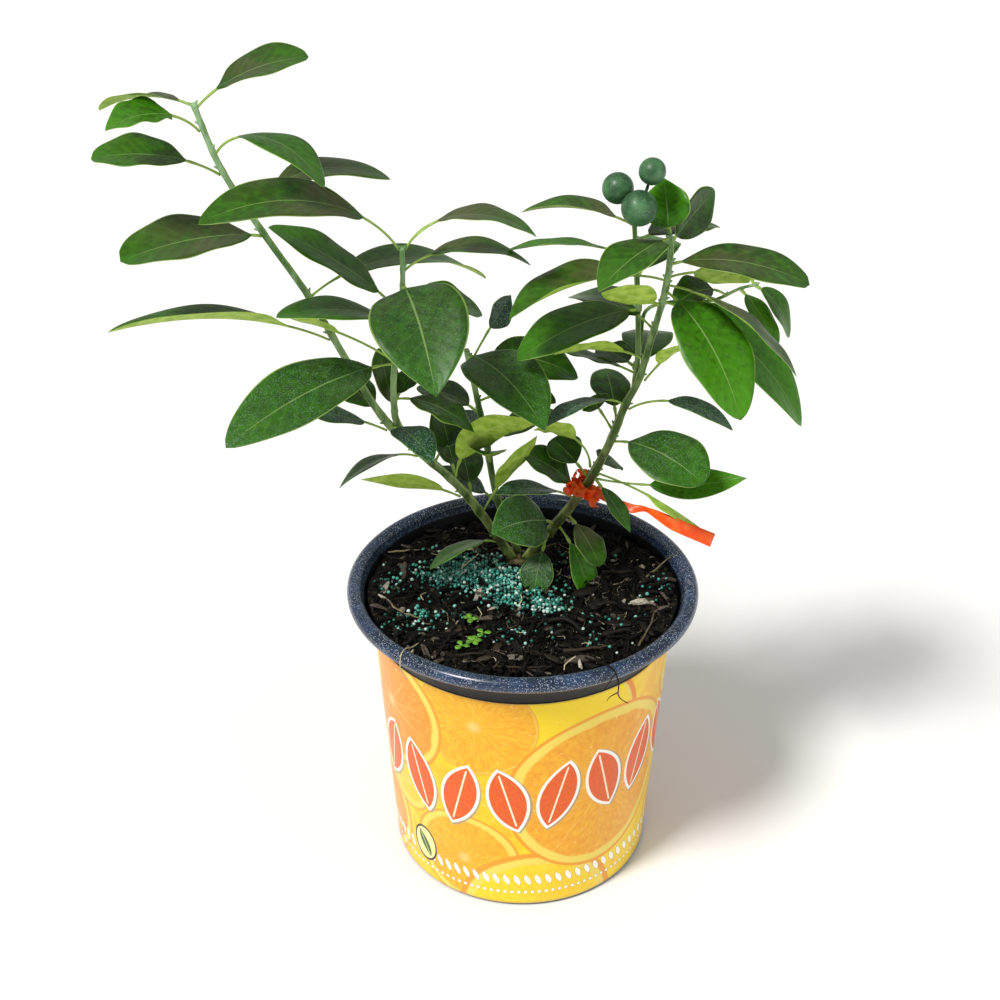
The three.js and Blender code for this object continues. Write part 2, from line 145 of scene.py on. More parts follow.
class Paint:
    """A material with one Principled shader. node() adds any other node to it."""

    def __init__(self, name, **constants):
        self.material = bpy.data.materials.new(name)
        self.material.use_nodes = True
        self.tree = self.material.node_tree
        self.shader = self.tree.nodes["Principled BSDF"]
        for socket, value in constants.items():
            self.shader.inputs[socket.replace("_", " ")].default_value = value

    def node(self, kind, settings=None, sockets=None, out=0):
        """Adds a node: its settings first, then the values or wires of its sockets."""
        node = self.tree.nodes.new(kind)
        for key, value in (settings or {}).items():
            if key == "stops":
                ramp = node.color_ramp.elements
                while len(ramp) < len(value):
                    ramp.new(0.5)
                for stop, (place, colour) in zip(ramp, value):
                    stop.position = place
                    stop.color = colour
            else:
                setattr(node, key, value)
        for key, value in (sockets or {}).items():
            if isinstance(value, Wire):
                self.tree.links.new(value.socket, node.inputs[key])
            else:
                node.inputs[key].default_value = value
        return Wire(self, node.outputs[out])

    def place(self):
        """Where the spot is on the piece, in metres."""
        return self.node("ShaderNodeTexCoord", out="Object")

    def map(self):
        """The piece's own UV map as two wires."""
        spot = self.node("ShaderNodeTexCoord", out="UV")
        return [self.node("ShaderNodeSeparateXYZ", {}, {0: spot}, axis) for axis in ("X", "Y")]

    def height(self):
        return self.node("ShaderNodeSeparateXYZ", {}, {0: self.place()}, "Z")

    def noise(self, scale, detail=2, where=None, **sockets):
        sockets = {"Vector": where or self.place(), "Scale": scale, "Detail": detail, **sockets}
        return self.node("ShaderNodeTexNoise", {}, sockets, "Fac")

    def stretched(self, *scales):
        """The place with its axes scaled, for grain that runs one way."""
        return self.node("ShaderNodeMapping", {}, {"Vector": self.place(), "Scale": scales})

    def cells(self, scale, out="Distance"):
        sockets = {"Vector": self.place(), "Scale": scale}
        return self.node("ShaderNodeTexVoronoi", {}, sockets, out)

    def cell_tone(self, scale):
        """A number from 0 to 1 that is the same all over each cell."""
        colour = self.cells(scale, "Color")
        return self.node("ShaderNodeSeparateColor", {}, {0: colour})

    def specks(self, scale, size, share):
        """Round grains: 1 on a share of the cells, within size of each one's middle."""
        return (self.cells(scale) < size) * (self.cell_tone(scale) < share)

    def tone(self, name="tone"):
        """A number that the mesh carries at each point."""
        return self.node("ShaderNodeAttribute", {"attribute_name": name}, {}, "Fac")

    def mix(self, share, first, second):
        """The first colour at a share of 0 and the second at 1."""
        settings = {"data_type": "RGBA", "clamp_factor": True}
        return self.node("ShaderNodeMix", settings, {0: share, 6: first, 7: second}, 2)

    def layered(self, colour, *layers):
        """Lays colours over a colour in turn, each given as its share and its hex code."""
        for share, code in layers:
            colour = self.mix(share, colour, tint(code))
        return colour

    def ramp(self, value, *stops):
        """A colour from a value, by stops that each have a place and a hex code."""
        stops = [(place, tint(code)) for place, code in stops]
        return self.node("ShaderNodeValToRGB", {"stops": stops}, {0: value})

    def bump(self, height, strength, distance):
        sockets = {"Strength": strength, "Distance": distance, "Height": height}
        return self.node("ShaderNodeBump", {}, sockets)

    def finish(self, **wires):
        """Wires the shader's sockets and gives the material back."""
        for socket, wire in wires.items():
            target = self.shader.inputs[socket.replace("_", " ")]
            self.tree.links.new(wire.socket, target)
        return self.material


MM = 0.001


def solid(name, points, faces, finish):
    """A smooth-shaded piece from points in millimetres."""
    mesh = bpy.data.meshes.new(name)
    mesh.from_pydata((np.asarray(points, float) * MM).tolist(), [], faces)
    mesh.materials.append(finish)
    mesh.shade_smooth()
    piece = bpy.data.objects.new(name, mesh)
    scene.collection.objects.link(piece)
    return piece


def lofted(rings, start=0):
    """Points and faces of a tube through rings of points, with a fan closing each end."""
    sides = len(rings[0])
    points = [tuple(p) for ring in rings for p in ring]
    faces = []
    for ring in range(len(rings) - 1):
        for side in range(sides):
            a = start + ring * sides + side
            b = start + ring * sides + (side + 1) % sides
            faces.append((a, b, b + sides, a + sides))
    for ring, order in ((0, -1), (len(rings) - 1, 1)):
        points.append(tuple(np.mean(np.asarray(rings[ring], float), axis=0)))
        middle = start + len(points) - 1
        for side in range(sides):
            edge = (start + ring * sides + side, start + ring * sides + (side + 1) % sides)
            faces.append((*edge[::order], middle))
    return points, faces


class Lofts:
    """The points and faces of several lofted tubes, gathered for one mesh."""

    def __init__(self, points=(), faces=()):
        self.points = list(points)
        self.faces = list(faces)

    def add(self, rings):
        """Adds a tube and gives back how many points it has."""
        points, faces = lofted(rings, len(self.points))
        self.points += points
        self.faces += faces
        return len(points)


def circle(radius, z, sides, middle=(0, 0)):
    turns = [math.tau * side / sides for side in range(sides)]
    return [(middle[0] + radius * math.cos(a), middle[1] + radius * math.sin(a), z) for a in turns]


def turned(profile, sides):
    """Points and faces of a closed profile of (radius, height), axis to axis, turned about Z."""
    points, faces = lofted([circle(radius, height, sides) for radius, height in profile[1:-1]])
    points[-2] = (0, 0, profile[0][1])
    points[-1] = (0, 0, profile[-1][1])
    return points, faces


def arc(middle, radius, start, end, steps):
    """Points of a round stretch of a profile, between two angles in degrees."""
    turns = [math.radians(start + (end - start) * i / steps) for i in range(steps + 1)]
    return [(middle[0] + radius * math.cos(a), middle[1] + radius * math.sin(a)) for a in turns]


POT_HEIGHT, RIM_R, BEAD_R = 252, 140, 6
SHOULDER_Z, SHOULDER_R, BASE_R = 218, 119.4, 106
COLLAR_R, COLLAR_TALL = 128, 23
WALL, POT_FLOOR = 1.8, 3
BASE_ROUND, BASE_FLAT_R = 7, 60
HOLE_R, HOLE_RING_R, HOLES = 5, 82, 8


def wall_r(z):
    """The wall's outer radius: a plain taper up to the shoulder, then the flared collar."""
    if z <= SHOULDER_Z:
        return BASE_R + (SHOULDER_R - BASE_R) * z / SHOULDER_Z
    return SHOULDER_R + (COLLAR_R - SHOULDER_R) * (z - SHOULDER_Z) / COLLAR_TALL


bead = (RIM_R - BEAD_R, POT_HEIGHT - BEAD_R)
corner = (wall_r(BASE_ROUND) - BASE_ROUND, BASE_ROUND)
pot_profile = [
    (0, 0), (BASE_FLAT_R, 0),
    *arc(corner, BASE_ROUND, -90, 0, 8),
    *[(wall_r(z), z) for z in range(20, 211, 15)],
    (SHOULDER_R - 0.1, SHOULDER_Z - 2),
    (SHOULDER_R + 0.4, SHOULDER_Z + 1),
    (wall_r(226), 226), (wall_r(233), 233),
    *arc((wall_r(237.5) + 0.2, 237.5), 1.0, -80, 80, 4),
    *arc(bead, BEAD_R, -125, 178, 26),
    (wall_r(242) - 1.9, 242), (wall_r(231) - 2, 231),
    (SHOULDER_R - WALL, SHOULDER_Z),
    *[(wall_r(z) - WALL, z) for z in range(200, 19, -30)],
    *arc(corner, BASE_ROUND - WALL, 0, -60, 4),
    (corner[0] - 6, POT_FLOOR), (BASE_FLAT_R, POT_FLOOR),
    (0, POT_FLOOR),
]

plastic = Paint("pot_plastic", IOR=1.4, Specular_IOR_Level=0.25, Coat_Roughness=0.22)
on_rim = plastic.height().rise(0.2415, 0.2435)
grit = plastic.specks(1000, 0.32, 0.5) * on_rim * plastic.noise(28, 3).rise(0.25, 0.6)
fine_grit = plastic.specks(2100, 0.34, 0.5) * on_rim
film = plastic.noise(45, 5).rise(0.35, 0.75)
scuffs = plastic.noise(9, 6, where=plastic.stretched(1, 1, 14)).rise(0.55, 0.75)
# The rim is painted a lighter navy than the black collar below it: a painted reflection of the sky on
# the blue-black plastic, with the grit and scuffs as its own marks.
shell = plastic.mix(film, tint("0f1d33"), tint("22395c"))
wall = plastic.mix(film * 0.5, tint("050608"), tint("0d1016"))
shell = plastic.layered(
    plastic.mix(on_rim, wall, shell),
    (scuffs * 0.1, "3f4858"), (fine_grit * 0.5, "7288a8"), (grit * 0.8, "cfdbea"),
)
moulding = plastic.noise(260, 3) + fine_grit * 0.5 + grit * 0.8
pot_plastic = plastic.finish(
    Base_Color=shell,
    Coat_Weight=on_rim * 0.7,
    Roughness=0.3 + film * 0.14 + grit * 0.3,
    Normal=plastic.bump(moulding, 0.25, 0.0006),
)

pot = solid("pot_shell", *turned(pot_profile, 160), pot_plastic)


def settled(piece):
    """Turns what the piece's modifiers make into its own plain mesh."""
    graph = bpy.context.evaluated_depsgraph_get()
    made = bpy.data.meshes.new_from_object(piece.evaluated_get(graph))
    piece.modifiers.clear()
    piece.data = made


def drilled(piece, radius, ring, count):
    """Cuts round holes through the piece's base."""
    bits = Lofts()
    for hole in range(count):
        turn = math.tau * (hole + 0.5) / count
        middle = (ring * math.cos(turn), ring * math.sin(turn))
        bits.add([circle(radius, z, 20, middle) for z in (-8, 12)])
    drills = solid("drills", bits.points, bits.faces, piece.data.materials[0])
    cut = piece.modifiers.new("drain_holes", "BOOLEAN")
    cut.object = drills
    cut.solver = "EXACT"
    settled(piece)
    bpy.data.objects.remove(drills)


drilled(pot, HOLE_R, HOLE_RING_R, HOLES)
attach(pot, "root")
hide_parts("nursery_pot")


# ---- the printed sleeve --------------------------------------------------------------------
# A glossy card sleeve slipped over the wall from below and lapped at the back. It is printed
# with overlapping orange slices on yellow, and over them a row of ribbed orange ovals, a row of
# small white leaves, a row of dots and a plain oval badge with one leaf.

SLEEVE_FOOT, SLEEVE_TOP = 3, 218
SLEEVE_R = 113  # the radius that the print is laid out on
PRINT_LENGTH = math.pi * SLEEVE_R  # the print is repeated twice round the pot
SEGMENTS = 10  # in a slice

card = Paint("sleeve_print", Coat_Weight=0.2, Coat_Roughness=0.12, IOR=1.4)
round_pot, up_pot = card.map()
arc_mm = round_pot * (2 * PRINT_LENGTH)
level = up_pot * SLEEVE_TOP
grain = card.noise(420, 4)
mottle = card.noise(55, 4)


def wrapped(middle):
    """How far round the pot a spot is from a middle, in millimetres, on the repeated print."""
    return (arc_mm - (middle + PRINT_LENGTH / 2)) % PRINT_LENGTH - PRINT_LENGTH / 2


def orange_slice(under, middle, height, radius, colours, rind, pith, bold):
    """Lays one cut slice over the print: rind, pale pith, segments with pulp and a pale core."""
    pulp_tone, pale_tone, blotch_tone, rind_tone = colours
    across = wrapped(middle)
    up = level - height
    reach = (across * across + up * up) ** 0.5
    turn = up.math("ARCTAN2", across)
    inner = radius - rind - pith
    wave = (card.noise(60, 2) - 0.5) * 5
    pulp_at = card.node("ShaderNodeCombineXYZ", {}, {0: turn * 11, 1: reach * 0.12, 2: middle * 1.0})
    pulp = card.noise(1.0, 5, where=pulp_at, Roughness=0.7)
    glints = card.noise(2.1, 3, where=pulp_at).rise(0.66, 0.74)
    membrane = abs((turn * (SEGMENTS / math.tau)) % 1 - 0.5) * reach * (math.tau / SEGMENTS)
    wall = membrane.rise(1.3, 0.3) * reach.rise(inner, inner * 0.55) * bold
    core = reach.rise(radius * 0.16, 1.0) * card.noise(5, 3, where=pulp_at).rise(0.35, 0.7)
    body = card.layered(
        card.mix(pulp.rise(0.3, 0.7), tint(pulp_tone), tint(pale_tone)),
        (mottle.rise(0.4, 0.75) * 0.35, blotch_tone), (glints * 0.7, "fff2a8"),
        (wall * 0.5, "fbe58a"), (core * 0.8, "fff6c8"),
    )
    ring = card.mix(grain * 0.5 + mottle * 0.3, tint("f4e87a"), tint("f3cf45"))
    whole = card.mix((reach + wave).rise(inner - 1.6, inner + 1.2), body, ring)
    skin_from = radius - rind
    skinned = (reach + wave * 0.2).rise(skin_from - 1.6, skin_from + 0.6)
    whole = card.mix(skinned, whole, tint(rind_tone))
    return card.mix(reach.rise(radius + 0.5, radius - 0.5), under, whole)


lemon = ("ffe200", "fbd808", "fde51c", "ec6a26")  # pulp, pale pulp, blotches and rind of a slice
yellow = ("f8cf12", "ffe41c", "f9b913", "f08a22")
green_gold = ("dfc018", "f2dc3c", "e7b020", "f0a024")
amber = ("ee8c0a", "fdc42a", "ea8010", "f0861a")
golden = ("ea820a", "fab42a", "e87c0e", "ee881c")
deep = ("de6e14", "ee9430", "d8620e", "e6881c")
SLICES = [  # middle, height, radius, colours, rind, pith and how bold the segments are
    (37, 186, 57, lemon, 4, 3, 0.1),
    (-165, 48, 55, deep, 3, 6, 0.5),
    (-37, 190, 48, amber, 0.5, 1, 0.15),
    (-108, 97, 27, green_gold, 2, 7, 0.2),
    (-123, 172, 59, deep, 2.5, 6, 0.5),
    (-50, 46, 49, amber, 1.5, 6, 0.2),
    (14, -10, 71, yellow, 5, 8, 0.2),
    (66, 117, 81, golden, 2.5, 8, 0.35),
    (172, 190, 40, yellow, 3, 6, 0.5),
]
printed = card.layered(
    card.mix(mottle.rise(0.3, 0.7), tint("fcd512"), tint("f6b314")),
    (card.noise(9, 2).rise(0.42, 0.6) * 0.7, "ffe400"),
    (card.noise(110, 5).rise(0.5, 0.75) * 0.5, "f29a14"),
    (card.noise(240, 3).rise(0.62, 0.72) * 0.5, "fff08a"),
)
for middle, height, radius, colours, rind, pith, bold in SLICES:
    printed = orange_slice(printed, middle, height, radius, colours, rind, pith, bold)
printed = card.mix(0.3, printed, tint("ecc000"))

OVAL_PITCH = PRINT_LENGTH / 9
OVAL_HALF_LONG, OVAL_HALF_WIDE, OVAL_LEAN = 36, 17, 0.5
OVALS_Z, OVALS_WAVE = 122, 7  # the middle of the row and how far it rises and falls
OVALS_FROM, WAVE_FROM = 0.8, 60  # where the row starts, in ovals, and where its wave does


def pointed_oval(side_on, long_on, half_length, half_width):
    """How far a spot is outside a pointed oval, in millimetres; below 0 inside it."""
    bulge = (half_length ** 2 - half_width ** 2) / (2 * half_width)
    return ((abs(side_on) + bulge) ** 2 + long_on * long_on) ** 0.5 - (bulge + half_width)


row = arc_mm / OVAL_PITCH + OVALS_FROM
lean = ((row.math("FLOOR") % 2) - 0.5) * OVAL_LEAN
rel = (row % 1 - 0.5) * OVAL_PITCH
sway = ((arc_mm + WAVE_FROM) * (math.tau / PRINT_LENGTH)).math("COSINE") * OVALS_WAVE
lift = level - (OVALS_Z - sway)
side_on = rel + lift * lean
long_on = lift - rel * lean
oval_edge = pointed_oval(side_on, long_on, OVAL_HALF_LONG, OVAL_HALF_WIDE)
shade_edge = pointed_oval(side_on - 1.2, long_on + 1.2, OVAL_HALF_LONG, OVAL_HALF_WIDE)
rib = abs(side_on).rise(1.0, 0.6) * oval_edge.rise(-4.5, -5.5)
oval_fill = card.mix(grain.rise(0.3, 0.7) * 0.6, tint("e05306"), tint("ec6c18"))
printed = card.layered(
    printed, (shade_edge.rise(1.2, -0.2) * 0.7, "7f8f8a"), (oval_edge.rise(0.3, -0.2), "fffaf0"))
printed = card.mix(oval_edge.rise(-2.3, -2.8), printed, oval_fill)
printed = card.mix(rib, printed, tint("ffe9c8"))

# The row of small white leaves and the row of dots under it.
LEAVES_Z, DOTS_Z = 30, 16
LEAF_PITCH, DOT_PITCH = 8.875, 5.917
leaf_side = arc_mm % LEAF_PITCH - LEAF_PITCH / 2
leaf_up = level - LEAVES_Z
row_edge = pointed_oval(leaf_side + leaf_up * 0.35, leaf_up, 5.5, 2.2)
dots = ((arc_mm % DOT_PITCH - DOT_PITCH / 2) ** 2 + (level - DOTS_Z) ** 2) ** 0.5
printed = card.layered(
    printed,
    (row_edge.rise(1.3, 0.1) * 0.5, "8a8470"), (row_edge.rise(0.4, -0.1), "fffdf2"),
    (dots.rise(2.6, 1.6) * 0.5, "8a8470"), (dots.rise(1.7, 1.2), "fffdf2"),
)

# The oval badge with one leaf on it, once on each print.
BADGE_AT, BADGE_Z = -92, 40
badge_side, badge_up = wrapped(BADGE_AT), level - BADGE_Z
badge = ((badge_side * 1.4) ** 2 + badge_up ** 2) ** 0.5
leaf_lean = badge_side + badge_up * 0.45
leaf_edge = pointed_oval(leaf_lean, badge_up, 12.5, 5)
leaf_rib = abs(leaf_lean).rise(0.7, 0.4) * leaf_edge.rise(-0.8, -1.4)
edge_wear = level.rise(SLEEVE_TOP - 1.2, SLEEVE_TOP - 0.2).most(level.rise(4.4, 3.2))
dirt = card.noise(38, 6).rise(0.6, 0.85) * level.rise(60, 0)
printed = card.layered(
    printed,
    (badge.rise(19.3, 18.7), "222c1a"), (badge.rise(16.9, 16.3), "f7e9a0"),
    (leaf_edge.rise(0.2, -0.3), "2c5a22"), (leaf_rib, "c9d98a"),
    (edge_wear * 0.5 * card.noise(180, 4), "fff6d8"), (dirt * 0.25, "6b4a1e"),
)
sleeve_print = card.finish(
    Base_Color=printed,
    Roughness=0.3 + mottle * 0.12,
    Normal=card.bump(card.noise(900, 2) * 0.3 + card.noise(16, 2), 0.12, 0.0012),
)

LAP = math.radians(6)
LAP_STEP = 0.45  # how far the upper end stands off the lower one
SKINS = ((0.75, 1), (0.32, -1))  # how far each face is from the wall, and its order up or down
around = np.linspace(-math.pi - LAP / 2, math.pi + LAP / 2, 241)
levels = [SLEEVE_FOOT, 6, *range(18, 211, 16), SLEEVE_TOP - 2, SLEEVE_TOP]
sleeve_rings, sleeve_spots = [], []
for turn in around:
    over = LAP_STEP * min(max((turn - math.pi + 1.6 * LAP) / LAP, 0), 1)
    ripple = [0.12 * noise.noise((3 * math.cos(turn), 3 * math.sin(turn), z / 60)) for z in levels]
    ring, spots = [], []
    for skin, order in SKINS:
        for z, wave in list(zip(levels, ripple))[::order]:
            edge = 0.35 * noise.noise((2.5 * math.cos(turn), 2.5 * math.sin(turn), z))
            radius = wall_r(z) + skin + over + wave
            lift = edge if z in (levels[0], levels[-1]) else 0
            ring.append((radius * math.sin(turn), -radius * math.cos(turn), z + min(lift, 0)))
            spots.append((turn / math.tau + 0.5, z / SLEEVE_TOP))
    sleeve_rings.append(ring)
    sleeve_spots.append(spots)
sleeve_points, sleeve_faces = lofted(sleeve_rings)
sleeve = solid("sleeve", sleeve_points, [f[::-1] for f in sleeve_faces], sleeve_print)


def lay_map(piece, spots):
    """Gives the piece a UV map from one (u, v) for each of its points."""
    layer = piece.data.uv_layers.new(name="laid")
    at = np.empty(len(piece.data.loops), int)
    piece.data.loops.foreach_get("vertex_index", at)
    layer.data.foreach_set("uv", np.asarray(spots, np.float32)[at].ravel())


flat_spots = [spot for spots in sleeve_spots for spot in spots]
lay_map(sleeve, flat_spots + [np.mean(sleeve_spots[i], axis=0) for i in (0, -1)])
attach(sleeve, "root")
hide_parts("printed_sleeve")


# ---- the potting mix -----------------------------------------------------------------------
# Near-black composted bark and peat, a little higher round its edge and under the fertiliser,
# with loose bark chips, straw and root fibres strewn over it.

MIX_MIDDLE_Z, MIX_SIDE_RISE, MIX_BACK_FALL = 235.8, 4.0, 7.5
MIX_GAP, MIX_SIDES, MIX_STEPS = 0.3, 220, 80
SOIL_REACH = 122


def mix_r(z):
    """The mix's radius inside the pot's wall."""
    return wall_r(min(z, 237)) - WALL - MIX_GAP


DRIFT = [  # where fertiliser lies: x, y, spread along x and along y, amount
    (-28, 16, 30, 17, 1.0), (-62, 22, 24, 16, 0.75), (-8, -10, 20, 11, 0.95),
    (12, -24, 16, 10, 0.6), (-34, 44, 22, 14, 0.8), (-62, 46, 14, 9, 0.6),
    (-78, -34, 22, 13, 0.4), (-104, 10, 14, 14, 0.35), (-90, -54, 18, 10, 0.3),
    (4, 24, 12, 12, 0.75), (-6, -62, 22, 12, 0.2), (108, 4, 16, 16, 0.18),
    (44, 52, 18, 12, 0.22), (30, -2, 16, 18, 0.25), (60, -50, 40, 30, 0.05),
]


def cover(x, y):
    """How densely fertiliser lies at a spot, from 0 to 1."""
    amount = sum(a * math.exp(-((x - px) / sx) ** 2 - ((y - py) / sy) ** 2)
                 for px, py, sx, sy, a in DRIFT)
    patchy = 0.75 + 0.7 * noise.noise((x / 12, y / 12, 7.7))
    return min(1.0, max(0.0, amount * patchy))


def mix_z(x, y):
    """The height of the mix at a spot, lumps and all: high at the rim, but low at the back."""
    reach = min(math.hypot(x, y) / SOIL_REACH, 1)
    back = min(max(y / SOIL_REACH - 0.15, 0) / 0.7, 1)
    smooth = MIX_MIDDLE_Z + reach ** 2 * (MIX_SIDE_RISE - MIX_BACK_FALL * back)
    lumps = 3.0 * noise.noise((x / 19, y / 19, 1.3)) + 3.0 * noise.noise((x / 8, y / 8, 4.1))
    crumbs = 1.5 * noise.noise((x / 3.1, y / 3.1, 9.2))
    drift = 4.5 * math.exp(-((x + 26) / 36) ** 2 - ((y - 10) / 30) ** 2)
    return smooth + lumps + crumbs + drift


soil = Paint("potting_mix", IOR=1.4, Specular_IOR_Level=0.2)
bits = soil.cell_tone(330)
fines = soil.noise(700, 5)
clods = soil.noise(70, 4)
earth = soil.ramp(
    bits * 0.6 + fines * 0.4,
    (0.0, "030303"), (0.48, "0c0a08"), (0.66, "1c1611"), (0.86, "3a3026"),
)
earth = soil.mix(clods.rise(0.4, 0.65), tint("060505"), earth)
earth = soil.mix(soil.specks(900, 0.3, 0.035), earth, tint("b9a888"))
potting_mix = soil.finish(
    Base_Color=earth,
    Roughness=0.5 + fines * 0.4,
    Normal=soil.bump(soil.cells(420) + fines * 0.8, 0.9, 0.0016),
)

mix_foot_z = POT_FLOOR + 0.4
mix_rings = [circle(radius, z, MIX_SIDES) for radius, z in (
    (40, mix_foot_z), (corner[0] - 6, mix_foot_z), (mix_r(14) - 0.8, 14), (mix_r(120), 120),
    (mix_r(SHOULDER_Z), SHOULDER_Z))]
for step in range(MIX_STEPS):
    flat = circle(mix_r(MIX_MIDDLE_Z) * (1 - step / (MIX_STEPS + 0.5)), 0, MIX_SIDES)
    mix_rings.append([(x, y, mix_z(x, y)) for x, y, _ in flat])
mix = solid("mix_bed", *lofted(mix_rings), potting_mix)
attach(mix, "root")
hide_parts("potting_mix")


def strewn_tree(name):
    """Geometry nodes that strew kinds of grain over a ground and make them one mesh."""
    tree = bpy.data.node_groups.new(name, "GeometryNodeTree")
    tree.is_modifier = True
    sockets = {}
    for kind, titles in {
        "Geometry": ("Ground",), "Collection": ("Kinds",), "Material": ("Finish",),
        "Float": ("Spacing", "Density", "Smallest", "Largest", "Lift", "Tip"), "Int": ("Seed",),
    }.items():
        for title in titles:
            made = tree.interface.new_socket(title, in_out="INPUT", socket_type="NodeSocket" + kind)
            sockets[title] = made.identifier
    tree.interface.new_socket("Strewn", in_out="OUTPUT", socket_type="NodeSocketGeometry")
    given = tree.nodes.new("NodeGroupInput").outputs
    seed = given["Seed"]

    def node(kind, links, out=0, **settings):
        made = tree.nodes.new(kind)
        for key, value in settings.items():
            setattr(made, key, value)
        for key, value in links.items():
            if isinstance(value, bpy.types.NodeSocket):
                tree.links.new(value, made.inputs[key])
            else:
                made.inputs[key].default_value = value
        return made.outputs[out] if made.outputs else None

    def times(first, second):
        return node("ShaderNodeMath", {0: first, 1: second}, operation="MULTIPLY")

    def drawn(low, high, kind_seed=seed):
        low_to_high = {2: low, 3: high, "Seed": kind_seed}
        return node("FunctionNodeRandomValue", low_to_high, 1, data_type="FLOAT")

    cover_at = node("GeometryNodeInputNamedAttribute", {"Name": "cover"}, data_type="FLOAT")
    spots = node("GeometryNodeDistributePointsOnFaces", {
        "Mesh": given["Ground"], "Distance Min": given["Spacing"],
        "Density Max": given["Density"], "Density Factor": cover_at, "Seed": seed,
    }, distribute_method="POISSON")
    push = node("ShaderNodeCombineXYZ", {"Z": times(drawn(0.25, 1.0), given["Lift"])})
    raised = node("GeometryNodeSetPosition", {"Geometry": spots, "Offset": push})
    tip_low = times(given["Tip"], -1.0)
    least = node("ShaderNodeCombineXYZ", {"X": tip_low, "Y": tip_low, "Z": 0.0})
    most = node("ShaderNodeCombineXYZ", {"X": given["Tip"], "Y": given["Tip"], "Z": math.tau})
    turn = node("FunctionNodeRandomValue", {0: least, 1: most, "Seed": seed},
                data_type="FLOAT_VECTOR")
    kinds = node("GeometryNodeCollectionInfo", {
        "Collection": given["Kinds"], "Separate Children": True, "Reset Children": True})
    which = node("FunctionNodeRandomValue", {4: 0, 5: 11, "Seed": seed}, 2, data_type="INT")
    placed = node("GeometryNodeInstanceOnPoints", {
        "Points": raised, "Instance": kinds, "Pick Instance": True, "Instance Index": which,
        "Rotation": turn, "Scale": drawn(given["Smallest"], given["Largest"])})
    toned = node("GeometryNodeStoreNamedAttribute", {
        "Geometry": placed, "Name": "tone", "Value": drawn(0.0, 1.0, 77),
    }, data_type="FLOAT", domain="INSTANCE")
    real = node("GeometryNodeRealizeInstances", {"Geometry": toned})
    painted = node("GeometryNodeSetMaterial", {"Geometry": real, "Material": given["Finish"]})
    node("NodeGroupOutput", {"Strewn": painted})
    return tree, sockets


STREWN, STREWN_SOCKETS = strewn_tree("strewn")


def strewn(name, density_at, kinds, finish, seed, step=4.0, reach=SOIL_REACH, **sizes):
    """Strews kinds of grain over the mix. density_at(x, y) says how thickly, from 0 to 1."""
    count = int(2 * reach / step) + 1
    line = np.linspace(-reach, reach, count)
    points = [(x, y, mix_z(x, y)) for y in line for x in line]
    faces = []
    for j in range(count - 1):
        for i in range(count - 1):
            a = j * count + i
            if max(math.hypot(*points[k][:2]) for k in (a, a + 1, a + count, a + count + 1)) < reach:
                faces.append((a, a + 1, a + count + 1, a + count))
    piece = solid(name, points, faces, finish)
    amount = piece.data.attributes.new("cover", "FLOAT", "POINT")
    amount.data.foreach_set("value", [float(density_at(p[0], p[1])) for p in points])
    box = bpy.data.collections.new(name + "_kinds")
    for kind in kinds:
        scene.collection.objects.unlink(kind)
        box.objects.link(kind)
    modifier = piece.modifiers.new("strewn", "NODES")
    modifier.node_group = STREWN
    given = {"Kinds": box, "Finish": finish, "Seed": seed, "Lift": 0.0, "Tip": 0.3, **sizes}
    for title, value in given.items():
        modifier[STREWN_SOCKETS[title]] = value
    settled(piece)
    piece.data.name = name
    for kind in kinds:
        bpy.data.objects.remove(kind)
    bpy.data.collections.remove(box)
    return piece


def chip(index, length, width, thick, corners):
    """A splinter of bark: an uneven outline with a thickness, bent a little along its length."""
    draw = random.Random(index)
    rings = []
    for lift in (-0.5, 0.5):
        ring = []
        for i in range(corners):
            turn = math.tau * (i + draw.uniform(-0.25, 0.25)) / corners
            x = length / 2 * math.cos(turn) * draw.uniform(0.7, 1.0)
            y = width / 2 * math.sin(turn) * draw.uniform(0.6, 1.0)
            bend = 0.9 * thick * math.cos(math.pi * x / length) ** 2
            ring.append((x, y, bend + lift * thick * draw.uniform(0.7, 1.3)))
        rings.append(ring)
    piece = solid(f"chip_{index}", *lofted(rings), None)
    piece.data.shade_flat()
    return piece


bark_bits = Paint("bark_chips", IOR=1.4, Specular_IOR_Level=0.22)
chip_tone = bark_bits.tone()
streak = bark_bits.noise(220, 5, where=bark_bits.stretched(1, 2.2, 4))
# Dark bark in random tones; the palest few chips, at the top of the ramp, are painted highlights
# standing in for glints on the wet mix.
bark_and_glint_colour = bark_bits.ramp(
    chip_tone,
    (0.0, "030303"), (0.5, "0a0908"), (0.76, "14110f"), (0.88, "2c2722"), (0.96, "6a6056"),
    (1.0, "c9c0b2"),
)
bark_and_glint_colour = bark_bits.mix(streak.rise(0.35, 0.7) * 0.5, bark_and_glint_colour, tint("0a0807"))
chip_finish = bark_bits.finish(
    Base_Color=bark_and_glint_colour,
    Roughness=0.45 + streak * 0.4,
    Normal=bark_bits.bump(streak + bark_bits.noise(900, 3), 0.8, 0.0008),
)

CHIPS = [  # length, width, thickness and corners
    (9, 4, 1.4, 7), (15, 3, 1.6, 8), (6, 4.6, 1.3, 6), (24, 6.5, 2.2, 9),
    (4, 3, 1.2, 6), (12, 1.8, 1.2, 7), (19, 4, 2.4, 8), (5, 4.4, 2.2, 6),
]
chip_kinds = [chip(index, *sizes) for index, sizes in enumerate(CHIPS, 1)]


def chips_at(x, y):
    """How thickly chips lie at a spot: patchily, and hardly any under the fertiliser."""
    return (1 - 0.97 * min(1, 1.5 * cover(x, y))) * (0.5 + 0.7 * noise.noise((x / 22, y / 22, 2.2)))


chips = strewn("bark_chips", chips_at, chip_kinds, chip_finish, 5, Spacing=0.0023,
               Density=170000.0, Smallest=0.3, Largest=1.1, Lift=0.0024, Tip=0.7)
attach(chips, "root")


